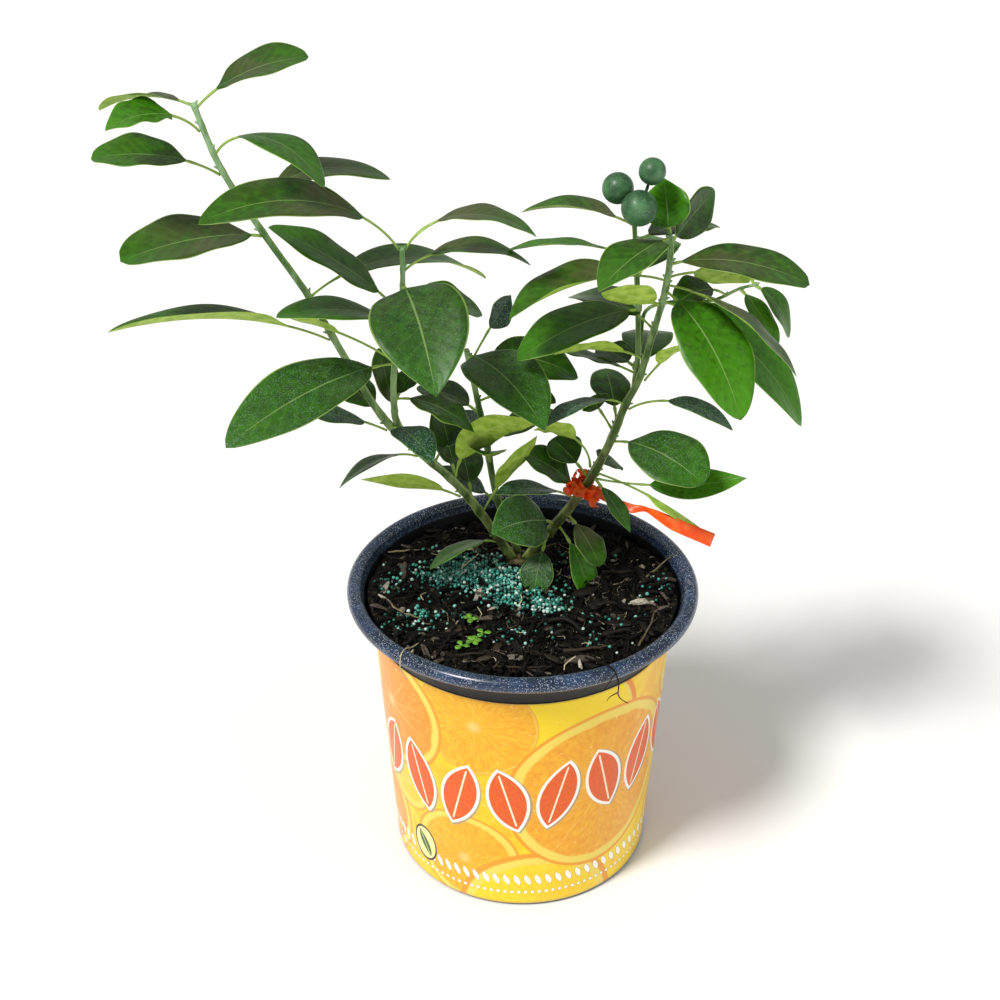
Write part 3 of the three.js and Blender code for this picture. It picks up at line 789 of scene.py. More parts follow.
def bent_rod(route, radii, sides=4):
    """Rings of points along a route, whose radius runs from the first of radii to the last."""
    route = [Vector(p) for p in route]
    turns = [math.tau * k / sides for k in range(sides)]
    rings = []
    for i, spot in enumerate(route):
        ahead = (route[min(i + 1, len(route) - 1)] - route[max(i - 1, 0)]).normalized()
        across = ahead.cross(Vector((0.31, 0.2, 0.93))).normalized()
        up = across.cross(ahead)
        radius = radii[0] + (radii[1] - radii[0]) * i / (len(route) - 1)
        rings.append([spot + across * radius * math.cos(a) + up * radius * math.sin(a)
                      for a in turns])
    return rings


def straw_kind(index, length, thick):
    """One fibre: a thin rod with a bow in it."""
    draw = random.Random(100 + index)
    bow = draw.uniform(-0.25, 0.25) * length
    route = [(length * (t - 0.5), bow * (4 * (t - 0.5) ** 2) + draw.uniform(-0.5, 0.5),
              draw.uniform(-0.3, 0.6)) for t in np.linspace(0, 1, 6)]
    return solid(f"straw_{index}", *lofted(bent_rod(route, (thick, thick * 0.5))), None)


straw = Paint("straw", IOR=1.4, Specular_IOR_Level=0.3)
straw_tone = straw.tone()
# The palest fibres are partly pale straw and partly painted highlights standing in for fine glints on
# the mix.
straw_and_glint_colour = straw.ramp(
    straw_tone,
    (0.0, "080706"), (0.55, "16110d"), (0.78, "41372b"), (0.9, "988a6c"), (1.0, "e4d8b4"),
)
straw_and_glint_colour = straw.mix(straw.noise(300, 3).rise(0.4, 0.7) * 0.4, straw_and_glint_colour, tint("241b12"))
straw_finish = straw.finish(
    Base_Color=straw_and_glint_colour,
    Roughness=0.5 + straw.noise(500, 2) * 0.3,
    Normal=straw.bump(straw.noise(1400, 2), 0.4, 0.0003),
)
STRAWS = [(14, 0.3), (22, 0.35), (8, 0.35), (9, 0.45), (18, 0.7), (6, 0.4)]  # length, radius
straw_kinds = [straw_kind(index, *sizes) for index, sizes in enumerate(STRAWS, 1)]


def straw_at(x, y):
    """How thickly straw lies at a spot."""
    return (0.5 + 0.8 * noise.noise((x / 30, y / 30, 6.6))) * (1 - 0.7 * cover(x, y))


straws = strewn("straw_fibres", straw_at, straw_kinds, straw_finish, 11, reach=112,
                Spacing=0.0032, Density=90000.0, Smallest=0.4, Largest=1.1, Lift=0.0036, Tip=0.35)
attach(straws, "root")


# ---- litter on the mix ---------------------------------------------------------------------
# Larger loose things that lie singly on the mix: dry straws and sticks, bark flakes, a dried
# root and a fibre that trail over the rim, and four small weed seedlings.

LITTER = [  # places with a lift above the mix, end radii, tone from dark to pale
    (((-126, 55, 3), (-104, 60, 4), (-83, 63, 2)), (0.9, 0.5), 0.9),
    (((87, -81, 3), (96, -58, 5), (103, -36, 3)), (1.0, 0.6), 0.82),
    (((98, 15, 2), (112, 30, 7), (124, 38, 11)), (1.1, 0.4), 0.86),
    (((18, -43, 3), (34, -48, 5), (45, -56, 3)), (2.2, 1.4), 0.42),
    (((52, -24, 3), (66, -20, 4), (80, -24, 3)), (2.6, 1.2), 0.4),
    (((60, -62, 3), (78, -58, 4), (92, -62, 2)), (2.0, 1.0), 0.5),
    (((-52, -88, 2), (-34, -92, 4), (-16, -88, 2)), (1.4, 0.8), 0.6),
    (((-96, 30, 2), (-88, 44, 4), (-76, 52, 2)), (1.6, 0.9), 0.55),
    (((-50, 19, 8), (-42, 30, 9), (-36, 44, 6)), (0.6, 0.4), 0.98),
    (((66, 24, 2), (80, 20, 4), (92, 26, 2)), (1.7, 0.9), 0.62),
    (((30, -86, 3), (52, -84, 4), (70, -78, 3)), (1.5, 0.8), 0.72),
    (((-106, -22, 3), (-96, -34, 4), (-80, -40, 2)), (0.8, 0.5), 0.88),
    (((86, -8, 2), (92, -24, 4), (88, -40, 2)), (1.3, 0.7), 0.7),
    (((-20, -104, 4), (0, -108, 5), (18, -104, 4)), (1.2, 0.7), 0.66),
]
FLAKES = [  # place, turn, length, width, tone
    (-52, -53, 20, 20, 7, 0.72), (58, -23, 70, 22, 9, 0.3), (-75, 96, 10, 18, 8, 0.5),
    (-64, 84, 80, 14, 7, 0.62), (98, 37, 40, 9, 6, 0.96), (-42, 62, 0, 8, 6, 1.0),
    (36, -70, 30, 24, 9, 0.35), (74, -48, -20, 26, 8, 0.45), (-88, -70, 50, 16, 8, 0.4),
    (22, -96, -30, 18, 7, 0.6), (50, -2, 15, 24, 10, 0.38), (78, 56, 60, 20, 9, 0.5),
    (-30, -96, 10, 14, 6, 0.78), (108, -30, 80, 15, 6, 0.66), (-112, 2, 70, 14, 7, 0.5),
    (96, -56, -50, 22, 8, 0.3), (44, -40, -60, 17, 6, 0.7), (-20, -80, 60, 14, 6, 0.68),
]
FLAKE_CORNERS = 11
ROOT_ON_RIM = [(30, -72, 240), (38, -84, 241), (46, -97, 244), (56, -111, 250), (62, -120, 253),
               (66, -128, 252.6), (68, -134, 247), (68, -134, 238), (71, -131, 231), (76, -129, 226)]
ROOTLETS = [[(66, -128, 252.6), (61, -134.5, 249), (57, -136.5, 243)],
            [(68, -134, 240), (62, -134.5, 236), (60, -133, 231)],
            [(56, -111, 250), (66, -108, 250), (74, -104, 246)],
            [(38, -84, 241), (30, -92, 243), (24, -104, 243)]]
FIBRE_ON_RIM = [(-80, -76, 242), (-84, -88, 247), (-88, -98, 253), (-91, -104, 252.4),
                (-92, -108, 246), (-91, -107.5, 238), (-88, -107, 231)]


def spline(points, place):
    """The point and heading at a place counted in points, on a curve through all of them."""
    points = [Vector(p) for p in points]
    points = [points[0] * 2 - points[1], *points, points[-1] * 2 - points[-2]]
    span = min(max(int(place), 0), len(points) - 4)
    t = place - span
    a, b, c, d = points[span:span + 4]
    point = 0.5 * (2 * b + (c - a) * t + (2 * a - 5 * b + 4 * c - d) * t ** 2
                   + (3 * b - a - 3 * c + d) * t ** 3)
    heading = 0.5 * ((c - a) + 2 * (2 * a - 5 * b + 4 * c - d) * t
                     + 3 * (3 * b - a - 3 * c + d) * t ** 2)
    return point, heading.normalized()


def gathered_route(stops, count):
    """Points spaced evenly along a curve through the stops, just short of its end."""
    return [spline(stops, place)[0] for place in np.linspace(0, len(stops) - 1.001, count)]


def litter():
    """All the loose pieces as one mesh, with the tone of each."""
    loose_bits, tones = Lofts(), []
    draw = random.Random(21)
    for stops, radii, tone in LITTER:
        route = gathered_route([(x, y, mix_z(x, y) + lift) for x, y, lift in stops], 9)
        route = [p + Vector([draw.uniform(-0.5, 0.5) for _ in range(3)]) for p in route]
        tones += [tone] * loose_bits.add(bent_rod(route, radii, 6))
    for x, y, turn, length, width, tone in FLAKES:
        turn = math.radians(turn)
        along_it = Vector((math.cos(turn), math.sin(turn), draw.uniform(-0.2, 0.2)))
        side = Vector((-math.sin(turn), math.cos(turn), draw.uniform(-0.3, 0.3)))
        middle = Vector((x, y, mix_z(x, y) + 2.6))
        rings = []
        for lift in (-0.9, 0.9):
            ring = []
            for spin in np.arange(FLAKE_CORNERS) * math.tau / FLAKE_CORNERS:
                reach = draw.uniform(0.78, 1.0)
                ring.append(middle + along_it * length / 2 * reach * math.cos(spin)
                            + side * width / 2 * reach * math.sin(spin)
                            + Vector((0, 0, lift + draw.uniform(-0.3, 0.3))))
            rings.append(ring)
        tones += [tone] * loose_bits.add(rings)
    for stops, radii, tone in ([(ROOT_ON_RIM, (0.9, 0.35), 0.5), (FIBRE_ON_RIM, (0.5, 0.3), 0.97)]
                               + [(stops, (0.45, 0.2), 0.45) for stops in ROOTLETS]):
        route = gathered_route(stops, 5 * len(stops))
        tones += [tone] * loose_bits.add(bent_rod(route, radii, 6))
    piece = solid("litter", loose_bits.points, loose_bits.faces, straw_finish)
    piece.data.attributes.new("tone", "FLOAT", "POINT").data.foreach_set("value", tones)
    return piece


loose = litter()
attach(loose, "root")

green = Paint("seedling", IOR=1.45)
sprout_tone = green.mix(green.noise(400, 3).rise(0.35, 0.65), tint("3f7a1e"), tint("79ad35"))
sprout = green.finish(Base_Color=sprout_tone, Roughness=0.45 + green.noise(700, 2) * 0.2,
                      Normal=green.bump(green.noise(900, 2), 0.4, 0.0004))


SEEDLINGS = [(-41, -43, 4), (-39, -73, 5), (-47, -81, 3), (-31, -66, 3)]  # place and leaves


def seedlings():
    """Weed seedlings: a thread of a stalk and a few round leaves on each."""
    weeds = Lofts()
    draw = random.Random(9)
    for x, y, blades in SEEDLINGS:
        foot = Vector((x, y, mix_z(x, y) - 1))
        top = foot + Vector((draw.uniform(-1, 1), draw.uniform(-1, 1), 7))
        weeds.add(bent_rod([foot, foot.lerp(top, 0.5), top], (0.4, 0.3), 6))
        for blade in range(blades):
            turn = math.tau * blade / blades + draw.uniform(-0.3, 0.3)
            out = Vector((math.cos(turn), math.sin(turn), 0.35))
            side = Vector((-math.sin(turn), math.cos(turn), 0))
            skin = Vector((0, 0, 0.18))
            rings = []
            for share in np.linspace(0, 1, 8):
                half = 0.25 + 2.1 * math.sin(math.pi * share ** 1.4) ** 0.8 * (share < 1)
                spot = top + out * 6.5 * share - Vector((0, 0, 2.2 * share ** 2))
                rings.append([spot + side * half + skin, spot + skin * 1.8,
                              spot - side * half + skin, spot - side * half - skin,
                              spot - skin, spot + side * half - skin])
            weeds.add(rings)
    return weeds.points, weeds.faces


weeds = solid("seedlings", *seedlings(), sprout)
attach(weeds, "root")


# ---- the fertiliser ------------------------------------------------------------------------
# Slow-release fertiliser poured on the mix: round resin-coated prills of 2 to 3 mm in greens
# and a little white, heaped left of the trunk and spilt thinly around.

coat = Paint("prill_coat", IOR=1.5, Coat_Weight=0.25, Coat_Roughness=0.2)
prill_tone = coat.tone()
prill_colour = coat.ramp(
    prill_tone,
    (0.0, "0a3a35"), (0.22, "146054"), (0.48, "208574"), (0.7, "4cae9f"), (0.86, "93d0c4"),
    (0.95, "dcefe8"),
)
prill_colour = coat.mix(coat.noise(1300, 2).rise(0.45, 0.75) * 0.35, prill_colour,
                        tint("0b2b29"))
prill_finish = coat.finish(
    Base_Color=prill_colour,
    Roughness=0.32 + coat.noise(800, 2) * 0.2,
    Normal=coat.bump(coat.noise(2400, 2), 0.25, 0.0002),
)


PRILLS = [(1.3, 0.95), (1.15, 1.0), (1.4, 0.88)]  # radius and how flat
PRILL_BANDS, PRILL_SIDES = 5, 8


def prill_kind(index, radius, squash):
    """One prill: a ball of a few bands, a little flattened."""
    profile = [(0, -radius * squash)]
    for band in range(1, PRILL_BANDS):
        slope = math.pi * (band / PRILL_BANDS - 0.5)
        profile.append((radius * math.cos(slope), radius * math.sin(slope) * squash))
    return solid(f"prill_{index}", *turned([*profile, (0, radius * squash)], PRILL_SIDES), None)


def lay_prills(name, amount, seed, **sizes):
    """One layer of prills, as thick at each spot as amount(x, y) says."""
    kinds = [prill_kind(index, *kind) for index, kind in enumerate(PRILLS, 1)]
    piece = strewn(name, amount, kinds, prill_finish, seed, step=3.0, Tip=0.6, **sizes)
    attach(piece, "root")
    return piece


prills = lay_prills("prills", lambda x, y: min(1, 1.8 * cover(x, y)), 3, Spacing=0.002,
                    Density=1200000.0, Smallest=0.8, Largest=1.2, Lift=0.0034)
lay_prills("top_prills", lambda x, y: min(1, 2 * max(0, cover(x, y) - 0.2)), 8, Spacing=0.0022,
           Density=900000.0, Smallest=0.85, Largest=1.2, Lift=0.0048)
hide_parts("fertiliser_heap")


# ---- the rootstock and stems ---------------------------------------------------------------
# A short rough trunk stands in the mix. Three ribbed green stems rise from its top, and three
# thinner ones branch off them. Each leaf leaves a small knuckle with a bud in its corner.

CROWN = Vector((-2, 47, 242.8))  # the top of the trunk, from which every stem is laid out
TRUNK_FOOT_Z, TRUNK_TALL, TRUNK_R = 232.5, 10.3, 11.6
STEM_GAP = 0.3  # between a stem and what stands on its side

stems = {  # route points from the crown, and the radii at foot and tip
    "left": ([
        (-6, -3, 0.3), (-34, -13, 53), (-55, -20, 85), (-101, -33, 140), (-127, -45, 195),
        (-152, -55, 253), (-180, -65, 306), (-203, -75, 355), (-216, -81, 400),
    ], (4.6, 2.2)),
    "middle": ([(-1, 6, 0.3), (-18, 0, 54), (-27, -9, 113), (-34, -17, 156), (-41, -27, 199)],
               (3.4, 2.2)),
    "right": ([
        (5, -4, 0.3), (44, -11, 59), (66, -17, 106), (80, -21, 150), (89, -23, 172),
        (96, -33, 211), (103, -41, 251), (105, -47, 284), (103, -50, 298),
    ], (4.6, 2.4)),
}


def along(name, place):
    """A stem's centre, heading and radius at a place counted in its route's points."""
    route, radii = stems[name]
    point, heading = spline(route, place)
    share = place / (len(route) - 1)
    return CROWN + point, heading, radii[0] + (radii[1] - radii[0]) * share


def fork_foot(bearer, place, away, radius):
    """Where a branch starts: on the side of the stem that bears it."""
    point, heading, bearer_r = along(bearer, place)
    away = Vector(away).normalized()
    side = (away - heading * away.dot(heading)).normalized()
    lean = math.sqrt(max(0.0, 1 - away.dot(side) ** 2))
    return tuple(point - CROWN + side * (bearer_r + STEM_GAP + radius * max(lean, 0.75)))


stems["centre"] = ([
    fork_foot("left", 3, (0.75, -0.2, 0.6), 2.8),
    (-96, -37, 170), (-94, -43, 196), (-89, -51, 232), (-85, -59, 265), (-84, -65, 295),
], (2.8, 1.9))
stems["fruit"] = ([
    fork_foot("right", 4, (0, 0.6, 0.8), 2.4),
    (88, -16, 198), (86, -17, 235), (82, -27, 276), (79, -37, 303),
], (2.4, 1.9))
stems["side"] = ([
    fork_foot("fruit", 1, (0.5, 0.8, 0.2), 1.7),
    (94, -1, 219), (114, 5, 224), (144, 3, 226), (163, -3, 238), (175, -7, 243),
], (1.7, 1.2))

# One row a leaf: its place on the stem, the turn and rise of its stalk, its length, its
# stalk's length, its width, its bend from end to end, its roll, its look and its outline. The
# first rows are the frame's leaves in order; the rows after None fill in between them.
leaf_rows = {
    "left": [
        (7.95, 10, 46, 80, 16, 40, 45, 10, "sheen", "blunt"),
        (8.0, 165, 20, 68, 7, 34, 50, 14, "brown", "oval"),
        (7.65, -150, 52, 66, 20, 36, 80, -10, "fresh", "ovate"),
        (7.25, -25, 52, 95, 22, 40, 110, -5, "green", "oval"),
        (6.95, -170, 35, 84, 22, 42, 45, -15, "green", "blunt"),
        (6.35, 25, 46, 110, 22, 38, 78, 5, "sheen", "oval"),
        (6.0, -152, 16, 98, 5, 54, 30, -12, "sheen", "blunt"),
        (5.0, 33, 31, 156, 26, 44, 70, 2, "green", "oval"),
        (4.45, -157, 34, 160, 28, 40, 40, 16, "deep", "folded"),
        (3.15, 145, 35, 56, 7, 36, 15, 0, "deep", "oval"),
        (2.95, -55, 25, 56, 7, 32, 60, -5, "dusty", "ovate"),
        (2.0, -38, 80, 116, 16, 32, 70, -45, "green", "oval"),
        (2.0, 115, 70, 58, 7, 40, 20, 25, "deep", "oval"),
        (0.95, -25, 65, 88, 24, 30, 10, -20, "green", "pointed"),
        None,
        (2.99, -157, 35, 72, 18, 30, 20, -4, "dusty", "oval"),
        (2.55, -148, 31, 70, 16, 28, 70, 16, "deep", "pointed"),
        (1.62, -157, 36, 86, 15, 28, 25, 44, "green", "pointed"),
        (0.42, -145, 29, 64, 10, 26, 60, 16, "green", "oval"),
        (1.3, 100, 40, 60, 10, 30, 40, 10, "deep", "oval"),
        (2.3, 60, 35, 66, 12, 32, 40, 0, "dusty", "oval"),
    ],
    "centre": [
        (5.0, -155, 60, 154, 35, 44, 80, -18, "sheen", "oval"),
        (5.0, -5, 62, 102, 30, 36, 100, 0, "sheen", "winged"),
        (4.4, 13, 38, 96, 20, 30, 75, 0, "sheen", "oval"),
        (4.0, -74, 6, 106, 6, 68, 55, 12, "dewy", "broad"),
        (3.7, 20, 0, 64, 12, 40, 40, 15, "deep", "oval"),
        (3.35, -168, 52, 110, 18, 42, 25, -15, "green", "oval"),
        (3.0, -150, 37, 95, 10, 42, 40, -5, "green", "oval"),
        (2.0, -139, 12, 148, 18, 52, 35, -20, "dewy", "oval"),
        (0.75, -18, 16, 66, 10, 34, 60, 0, "deep", "pointed"),
        None,
        (2.12, -158, 42, 95, 47, 24, 20, 28, "green", "pointed"),
        (0.34, 114, 60, 47, 4, 30, 10, 36, "sheen", "oval"),
        (0.7, 54, 37, 29, 4, 28, 10, -16, "deep", "oval"),
        (1.5, 80, 30, 60, 10, 34, 40, 0, "deep", "oval"),
    ],
    "middle": [
        (3.8, 10, 12, 88, 16, 40, 50, 25, "deep", "oval"),
        (3.9, -52, 14, 96, 4, 58, 55, 5, "dewy", "ovate"),
        None,
        (3.73, 46, 49, 58, 28, 30, 10, 96, "dusty", "pointed"),
        (2.6, 150, 30, 56, 8, 32, 40, 0, "deep", "oval"),
        (2.9, -20, 35, 62, 10, 30, 50, 10, "deep", "oval"),
        (1.7, -95, 55, 58, 8, 30, 40, 0, "deep", "oval"),
        (1.9, 20, 40, 60, 10, 34, 40, 0, "green", "oval"),
        (1.0, 170, 45, 52, 8, 30, 30, 0, "dusty", "oval"),
    ],
    "right": [
        (7.95, 110, 70, 38, 4, 38, 0, -50, "fresh", "broad"),
        (7.9, -137, 3, 72, 6, 44, 35, 5, "green", "ovate"),
        (6.7, -12, 20, 98, 5, 42, 45, 12, "olive", "notched"),
        (6.35, 20, 10, 66, 18, 34, 40, -50, "deep", "oval"),
        (6.3, -160, 24, 122, 25, 52, 55, 6, "sheen", "folded"),
        (6.05, -58, -5, 114, 12, 51, 55, 10, "fresh", "oval"),
        (5.75, -145, 34, 56, 4, 30, 20, 45, "fresh", "oval"),
        (5.8, -12, -10, 143, 10, 50, 55, 20, "fresh", "oval"),
        (3.05, -142, 36, 80, 15, 28, 60, 15, "dusty", "oval"),
        (3.0, -15, 38, 85, 30, 28, 80, 0, "dusty", "oval"),
        (2.3, -40, 22, 84, 12, 54, 50, 12, "dewy", "blunt"),
        (1.45, 140, 42, 40, 12, 34, 20, -10, "deep", "blunt"),
        (1.05, -150, 40, 76, 18, 30, 40, 5, "dusty", "pointed"),
        (0.8, -55, -10, 50, 10, 28, 40, -10, "brown", "blunt"),
        (0.6, -140, 35, 66, 8, 46, 40, -40, "dewy", "broad"),
        None,
        (7.52, 44, 39, 50, 3, 36, 15, 92, "deep", "oval"),
        (4.55, -171, 34, 68, 14, 26, 50, 40, "fresh", "oval"),
        (4.13, -35, 58, 43, 19, 22, 10, -20, "fresh", "oval"),
        (2.47, 146, 53, 27, 16, 30, 10, -8, "deep", "oval"),
        (1.68, -166, 88, 65, 29, 26, 90, 44, "fresh", "pointed"),
        (1.2, 180, 52, 57, 8, 34, 30, -16, "deep", "oval"),
        (1.74, 51, -5, 20, 1, 28, 20, 16, "deep", "blunt"),
        (0.46, -109, -12, 52, 17, 28, 60, 4, "dewy", "blunt"),
        (6.2, -40, 8, 118, 18, 44, 50, -24, "olive", "oval"),
        (2.6, 95, 35, 64, 12, 32, 40, 0, "deep", "oval"),
        (4.2, 80, 25, 84, 12, 40, 50, 0, "green", "oval"),
        (5.2, 130, 25, 90, 14, 42, 50, 0, "deep", "oval"),
        (1.5, -42, -32, 50, 8, 17, 20, 0, "dewy", "pointed"),
        (0.6, -48, -28, 66, 16, 26, 50, 0, "fresh", "blunt"),
        (1.6, -8, -17, 96, 40, 32, 20, 165, "fresh", "oval"),
        (1.5, -10, -8, 118, 42, 28, -25, 30, "fresh", "pointed"),
    ],
    "fruit": [
        (3.9, 160, 24, 84, 12, 32, 45, 5, "sheen", "folded"),
        (1.8, -153, 8, 102, 5, 46, 35, -10, "green", "oval"),
        None,
        (2.92, -174, 26, 98, 22, 28, 40, 8, "fresh", "pointed"),
        (0.11, 170, 25, 59, 10, 26, 20, 12, "deep", "oval"),
        (0.29, 136, 18, 36, 6, 32, 20, -4, "deep", "oval"),
        (2.4, 70, 30, 80, 10, 40, 50, 0, "green", "oval"),
        (3.3, 30, 20, 74, 10, 36, 40, 0, "deep", "oval"),
    ],
    "side": [
        (4.1, -45, -26, 54, 4, 28, 40, -5, "fresh", "oval"),
        (3.45, -170, 40, 42, 10, 36, 90, -10, "deep", "oval"),
        None,
        (5.0, 0, -29, 51, 3, 26, 50, 24, "green", "oval"),
        (4.8, 100, 20, 60, 8, 30, 40, 0, "green", "oval"),
    ],
}

rough_bark = Paint("bark", IOR=1.45)
fissures = rough_bark.noise(240, 6, where=rough_bark.stretched(1, 1, 0.35))
bark_tone = rough_bark.ramp(fissures, (0.3, "2a2117"), (0.5, "5f4f37"), (0.7, "8d7a55"))
bark_tone = rough_bark.mix(rough_bark.noise(60, 3).rise(0.5, 0.7) * 0.5, bark_tone,
                           tint("5c6436"))
bark = rough_bark.finish(
    Base_Color=bark_tone,
    Roughness=0.7 + fissures * 0.25,
    Normal=rough_bark.bump(fissures, 0.9, 0.0012),
)

trunk_rings = []
for step in range(15):
    share = step / 14
    ring = []
    for i in range(40):
        turn = math.tau * i / 40
        spot = (2.2 * math.cos(turn), 2.2 * math.sin(turn), share * 1.4)
        radius = TRUNK_R - 2.1 * share + 2.2 * max(0, 0.35 - share) + 0.7 * noise.noise(spot)
        radius += 0.5 * math.cos(5 * turn + 1) * (1 - share)
        ring.append((CROWN.x + radius * math.cos(turn), CROWN.y + radius * math.sin(turn),
                     TRUNK_FOOT_Z + TRUNK_TALL * share))
    trunk_rings.append(ring)
trunk = solid("rootstock_bark", *lofted(trunk_rings), bark)
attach(trunk, "root")
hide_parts("rootstock")

rind = Paint("stem_skin", IOR=1.45, Specular_IOR_Level=0.35)
round_stem = rind.map()[0]
ridge = (round_stem * (3 * math.tau)).math("COSINE")
age = rind.tone("age")
lengthwise = rind.noise(150, 4, where=rind.stretched(1, 1, 0.25))
young = rind.mix(lengthwise.rise(0.35, 0.65), tint("4f8040"), tint("98c090"))
woody = rind.mix(lengthwise.rise(0.35, 0.65), tint("414f1c"), tint("828f44"))
skin = rind.layered(
    rind.mix(age, young, woody),
    (ridge.rise(0.5, 0.95) * 0.55, "b5c880"), (rind.specks(700, 0.22, 0.12) * 0.6, "c9ceb0"),
    ((age * rind.noise(85, 4)).rise(0.42, 0.55) * 0.6, "4a3a26"),
)
stem_skin = rind.finish(
    Base_Color=skin,
    Roughness=0.42 + lengthwise * 0.2,
    Normal=rind.bump(lengthwise + ridge * 0.3, 0.4, 0.0006),
)

# How slim a stem is at its foot, middle and tip, beside its plain taper.
SLIM = {"left": (0.92, 0.8, 0.9), "right": (0.9, 0.82, 0.85)}
SLIM_ELSE = (0.98, 0.94, 0.94)
BRANCHES = {"centre": ("left", 3), "fruit": ("right", 4), "side": ("fruit", 1)}  # bearer, place
BRANCH_CLEAR = 0.22  # the place past which a branch follows its own route
STEM_SIDES, STEM_STEP = 18, 2.6
# How woody a stem is at its foot and tip, from 0 to 1.
AGES = {"left": (0.95, 0.0), "middle": (0.8, 0.3), "right": (1.0, 0.25), "centre": (0.5, 0.05),
        "fruit": (0.6, 0.3), "side": (0.5, 0.4)}


def knuckle(name, place):
    """How much thicker the stem is at a place, for the leaves that stand near it."""
    spots = [row[0] for row in leaf_rows[name] if row]
    return max(math.exp(-((place - spot) * 14) ** 2) for spot in spots)


def frames(name, steps):
    """Evenly stepped places on a stem, with its centre, radius and two axes across it."""
    route = stems[name][0]
    spots = [((len(route) - 1) * step / steps, *along(name, (len(route) - 1) * step / steps))
             for step in range(steps + 1)]
    if name in BRANCHES:
        spots = [spot for spot in spots if spot[0] > BRANCH_CLEAR]
        bearer, place = BRANCHES[name]
        start, elbow = along(bearer, place - 0.3)[0], along(name, 0)[0]
        end = along(name, BRANCH_CLEAR)[0]
        radius = stems[name][1][0]
        grown = []
        for share in (0, 0.2, 0.4, 0.6, 0.8, 0.95):
            rest = 1 - share
            centre = start * rest ** 2 + elbow * 2 * rest * share + end * share ** 2
            heading = ((elbow - start) * rest + (end - elbow) * share).normalized()
            grown.append((BRANCH_CLEAR * share, centre, heading, radius * (1.25 - 0.25 * share)))
        spots = grown + spots
    across = Vector((0, 1, 0))
    for place, centre, heading, radius in spots:
        across = (across - heading * across.dot(heading)).normalized()
        yield place, centre, radius, across, heading.cross(across)


def stem_piece(name):
    """One stem: a ribbed tube that swells at each leaf, with a bud over each leaf's foot."""
    route = stems[name][0]
    length = sum((Vector(a) - Vector(b)).length for a, b in zip(route, route[1:]))
    rings, spots, ages = [], [], []
    old, new = AGES[name]
    foot_slim, middle_slim, tip_slim = SLIM.get(name, SLIM_ELSE)
    for place, centre, radius, across, up in frames(name, int(length / STEM_STEP)):
        share = place / (len(route) - 1)
        swell = foot_slim + (middle_slim - foot_slim) * min(share / 0.5, 1)
        swell += (tip_slim - middle_slim) * max(share / 0.5 - 1, 0)
        swell *= 1 + 0.14 * knuckle(name, place)
        ring = []
        for side in range(STEM_SIDES):
            turn = math.tau * side / STEM_SIDES
            rib = 0.07 * (math.cos(3 * turn) - 0.8) * (1 - 0.5 * share)
            uneven = 0.04 * noise.noise((centre.x / 9, centre.y / 9, centre.z / 9 + turn))
            reach = radius * (1 + rib + uneven) * swell
            ring.append(centre + across * reach * math.cos(turn) + up * reach * math.sin(turn))
            spots.append((side / STEM_SIDES, share))
            ages.append(old + (new - old) * share)
        rings.append(ring)
    stem = Lofts(*lofted(rings))
    spots += [(0.5, 0), (0.5, 1)]
    ages += [old, new]
    for row in filter(None, leaf_rows[name]):
        centre, heading, radius = along(name, min(row[0] + 0.06, len(route) - 1.02))
        away = Vector((math.cos(math.radians(row[1])), math.sin(math.radians(row[1])), 0.4))
        side = (away - heading * away.dot(heading)).normalized()
        tip = centre + side * (radius + 1.2) + heading * 2.2
        foot = centre + side * radius * 0.6
        bud = bent_rod([foot, foot.lerp(tip, 0.5), foot.lerp(tip, 0.85), tip], (1.2, 0.4), 6)
        count = stem.add(bud)
        spots += [(0.1, row[0] / (len(route) - 1))] * count
        ages += [0.1] * count
    piece = solid(f"{name}_stem_skin", stem.points, stem.faces, stem_skin)
    lay_map(piece, spots)
    layer = piece.data.attributes.new("age", "FLOAT", "POINT")
    layer.data.foreach_set("value", ages)
    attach(piece, "root")
    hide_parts(f"{name}_stem")


for stem_name in stems:
    stem_piece(stem_name)


# ---- the leaves ----------------------------------------------------------------------------
# Leathery citrus leaves on short stalks: glossy deep green above, dull yellow-green below, with
# a pale midrib and margin. The lower ones are old, blue-green and spotted with dried water.

LOOKS = {  # freshness, dust and painted olive sheen, each from 0 to 1
    "fresh": (0.9, 0.08, 0.1), "green": (0.5, 0.22, 0.25), "sheen": (0.3, 0.12, 0.95),
    "deep": (0.12, 0.15, 0.2), "dusty": (0.0, 0.95, 0.0), "dewy": (0.3, 0.47, 0.25),
    "brown": (0.1, 0.25, 1.0), "olive": (0.2, 0.1, 0.7),
}
OUTLINES = {  # where it is widest, how full towards foot and tip, and how far it is folded
    "oval": (0.95, 0.62, 0.68, 7), "pointed": (0.9, 0.72, 1.0, 8), "blunt": (1.12, 0.66, 0.5, 6),
    "notched": (1.1, 0.7, 0.42, 6), "ovate": (0.8, 0.55, 0.9, 7), "broad": (0.82, 0.46, 0.95, 7),
    "winged": (0.95, 0.68, 0.75, 12), "folded": (0.95, 0.66, 0.74, 26),
}

wax = Paint("leaf", IOR=1.45, Specular_IOR_Level=0.32)
across_leaf, up_leaf = wax.map()
from_rib = abs(across_leaf * 2 - 1)
upper = wax.tone("upper")
fresh = wax.tone("freshness")
dust = wax.tone("dust")
olive = wax.tone("olive")
patches = wax.noise(38, 4)
cloud = wax.noise(150, 4)
vein_line = abs((up_leaf * 9 - from_rib * 2.2 + patches * 0.8) % 1 - 0.5)
veins = vein_line.rise(0.09, 0.01) * from_rib.rise(0.0, 0.12) * from_rib.rise(0.95, 0.6)
between = vein_line.rise(0.1, 0.5)
rib_half = 0.016 + (1 - up_leaf) * 0.03
rib_line = from_rib.rise(rib_half, rib_half * 0.3) * up_leaf.rise(1.0, 0.8)
margin = from_rib.rise(0.95, 0.985)
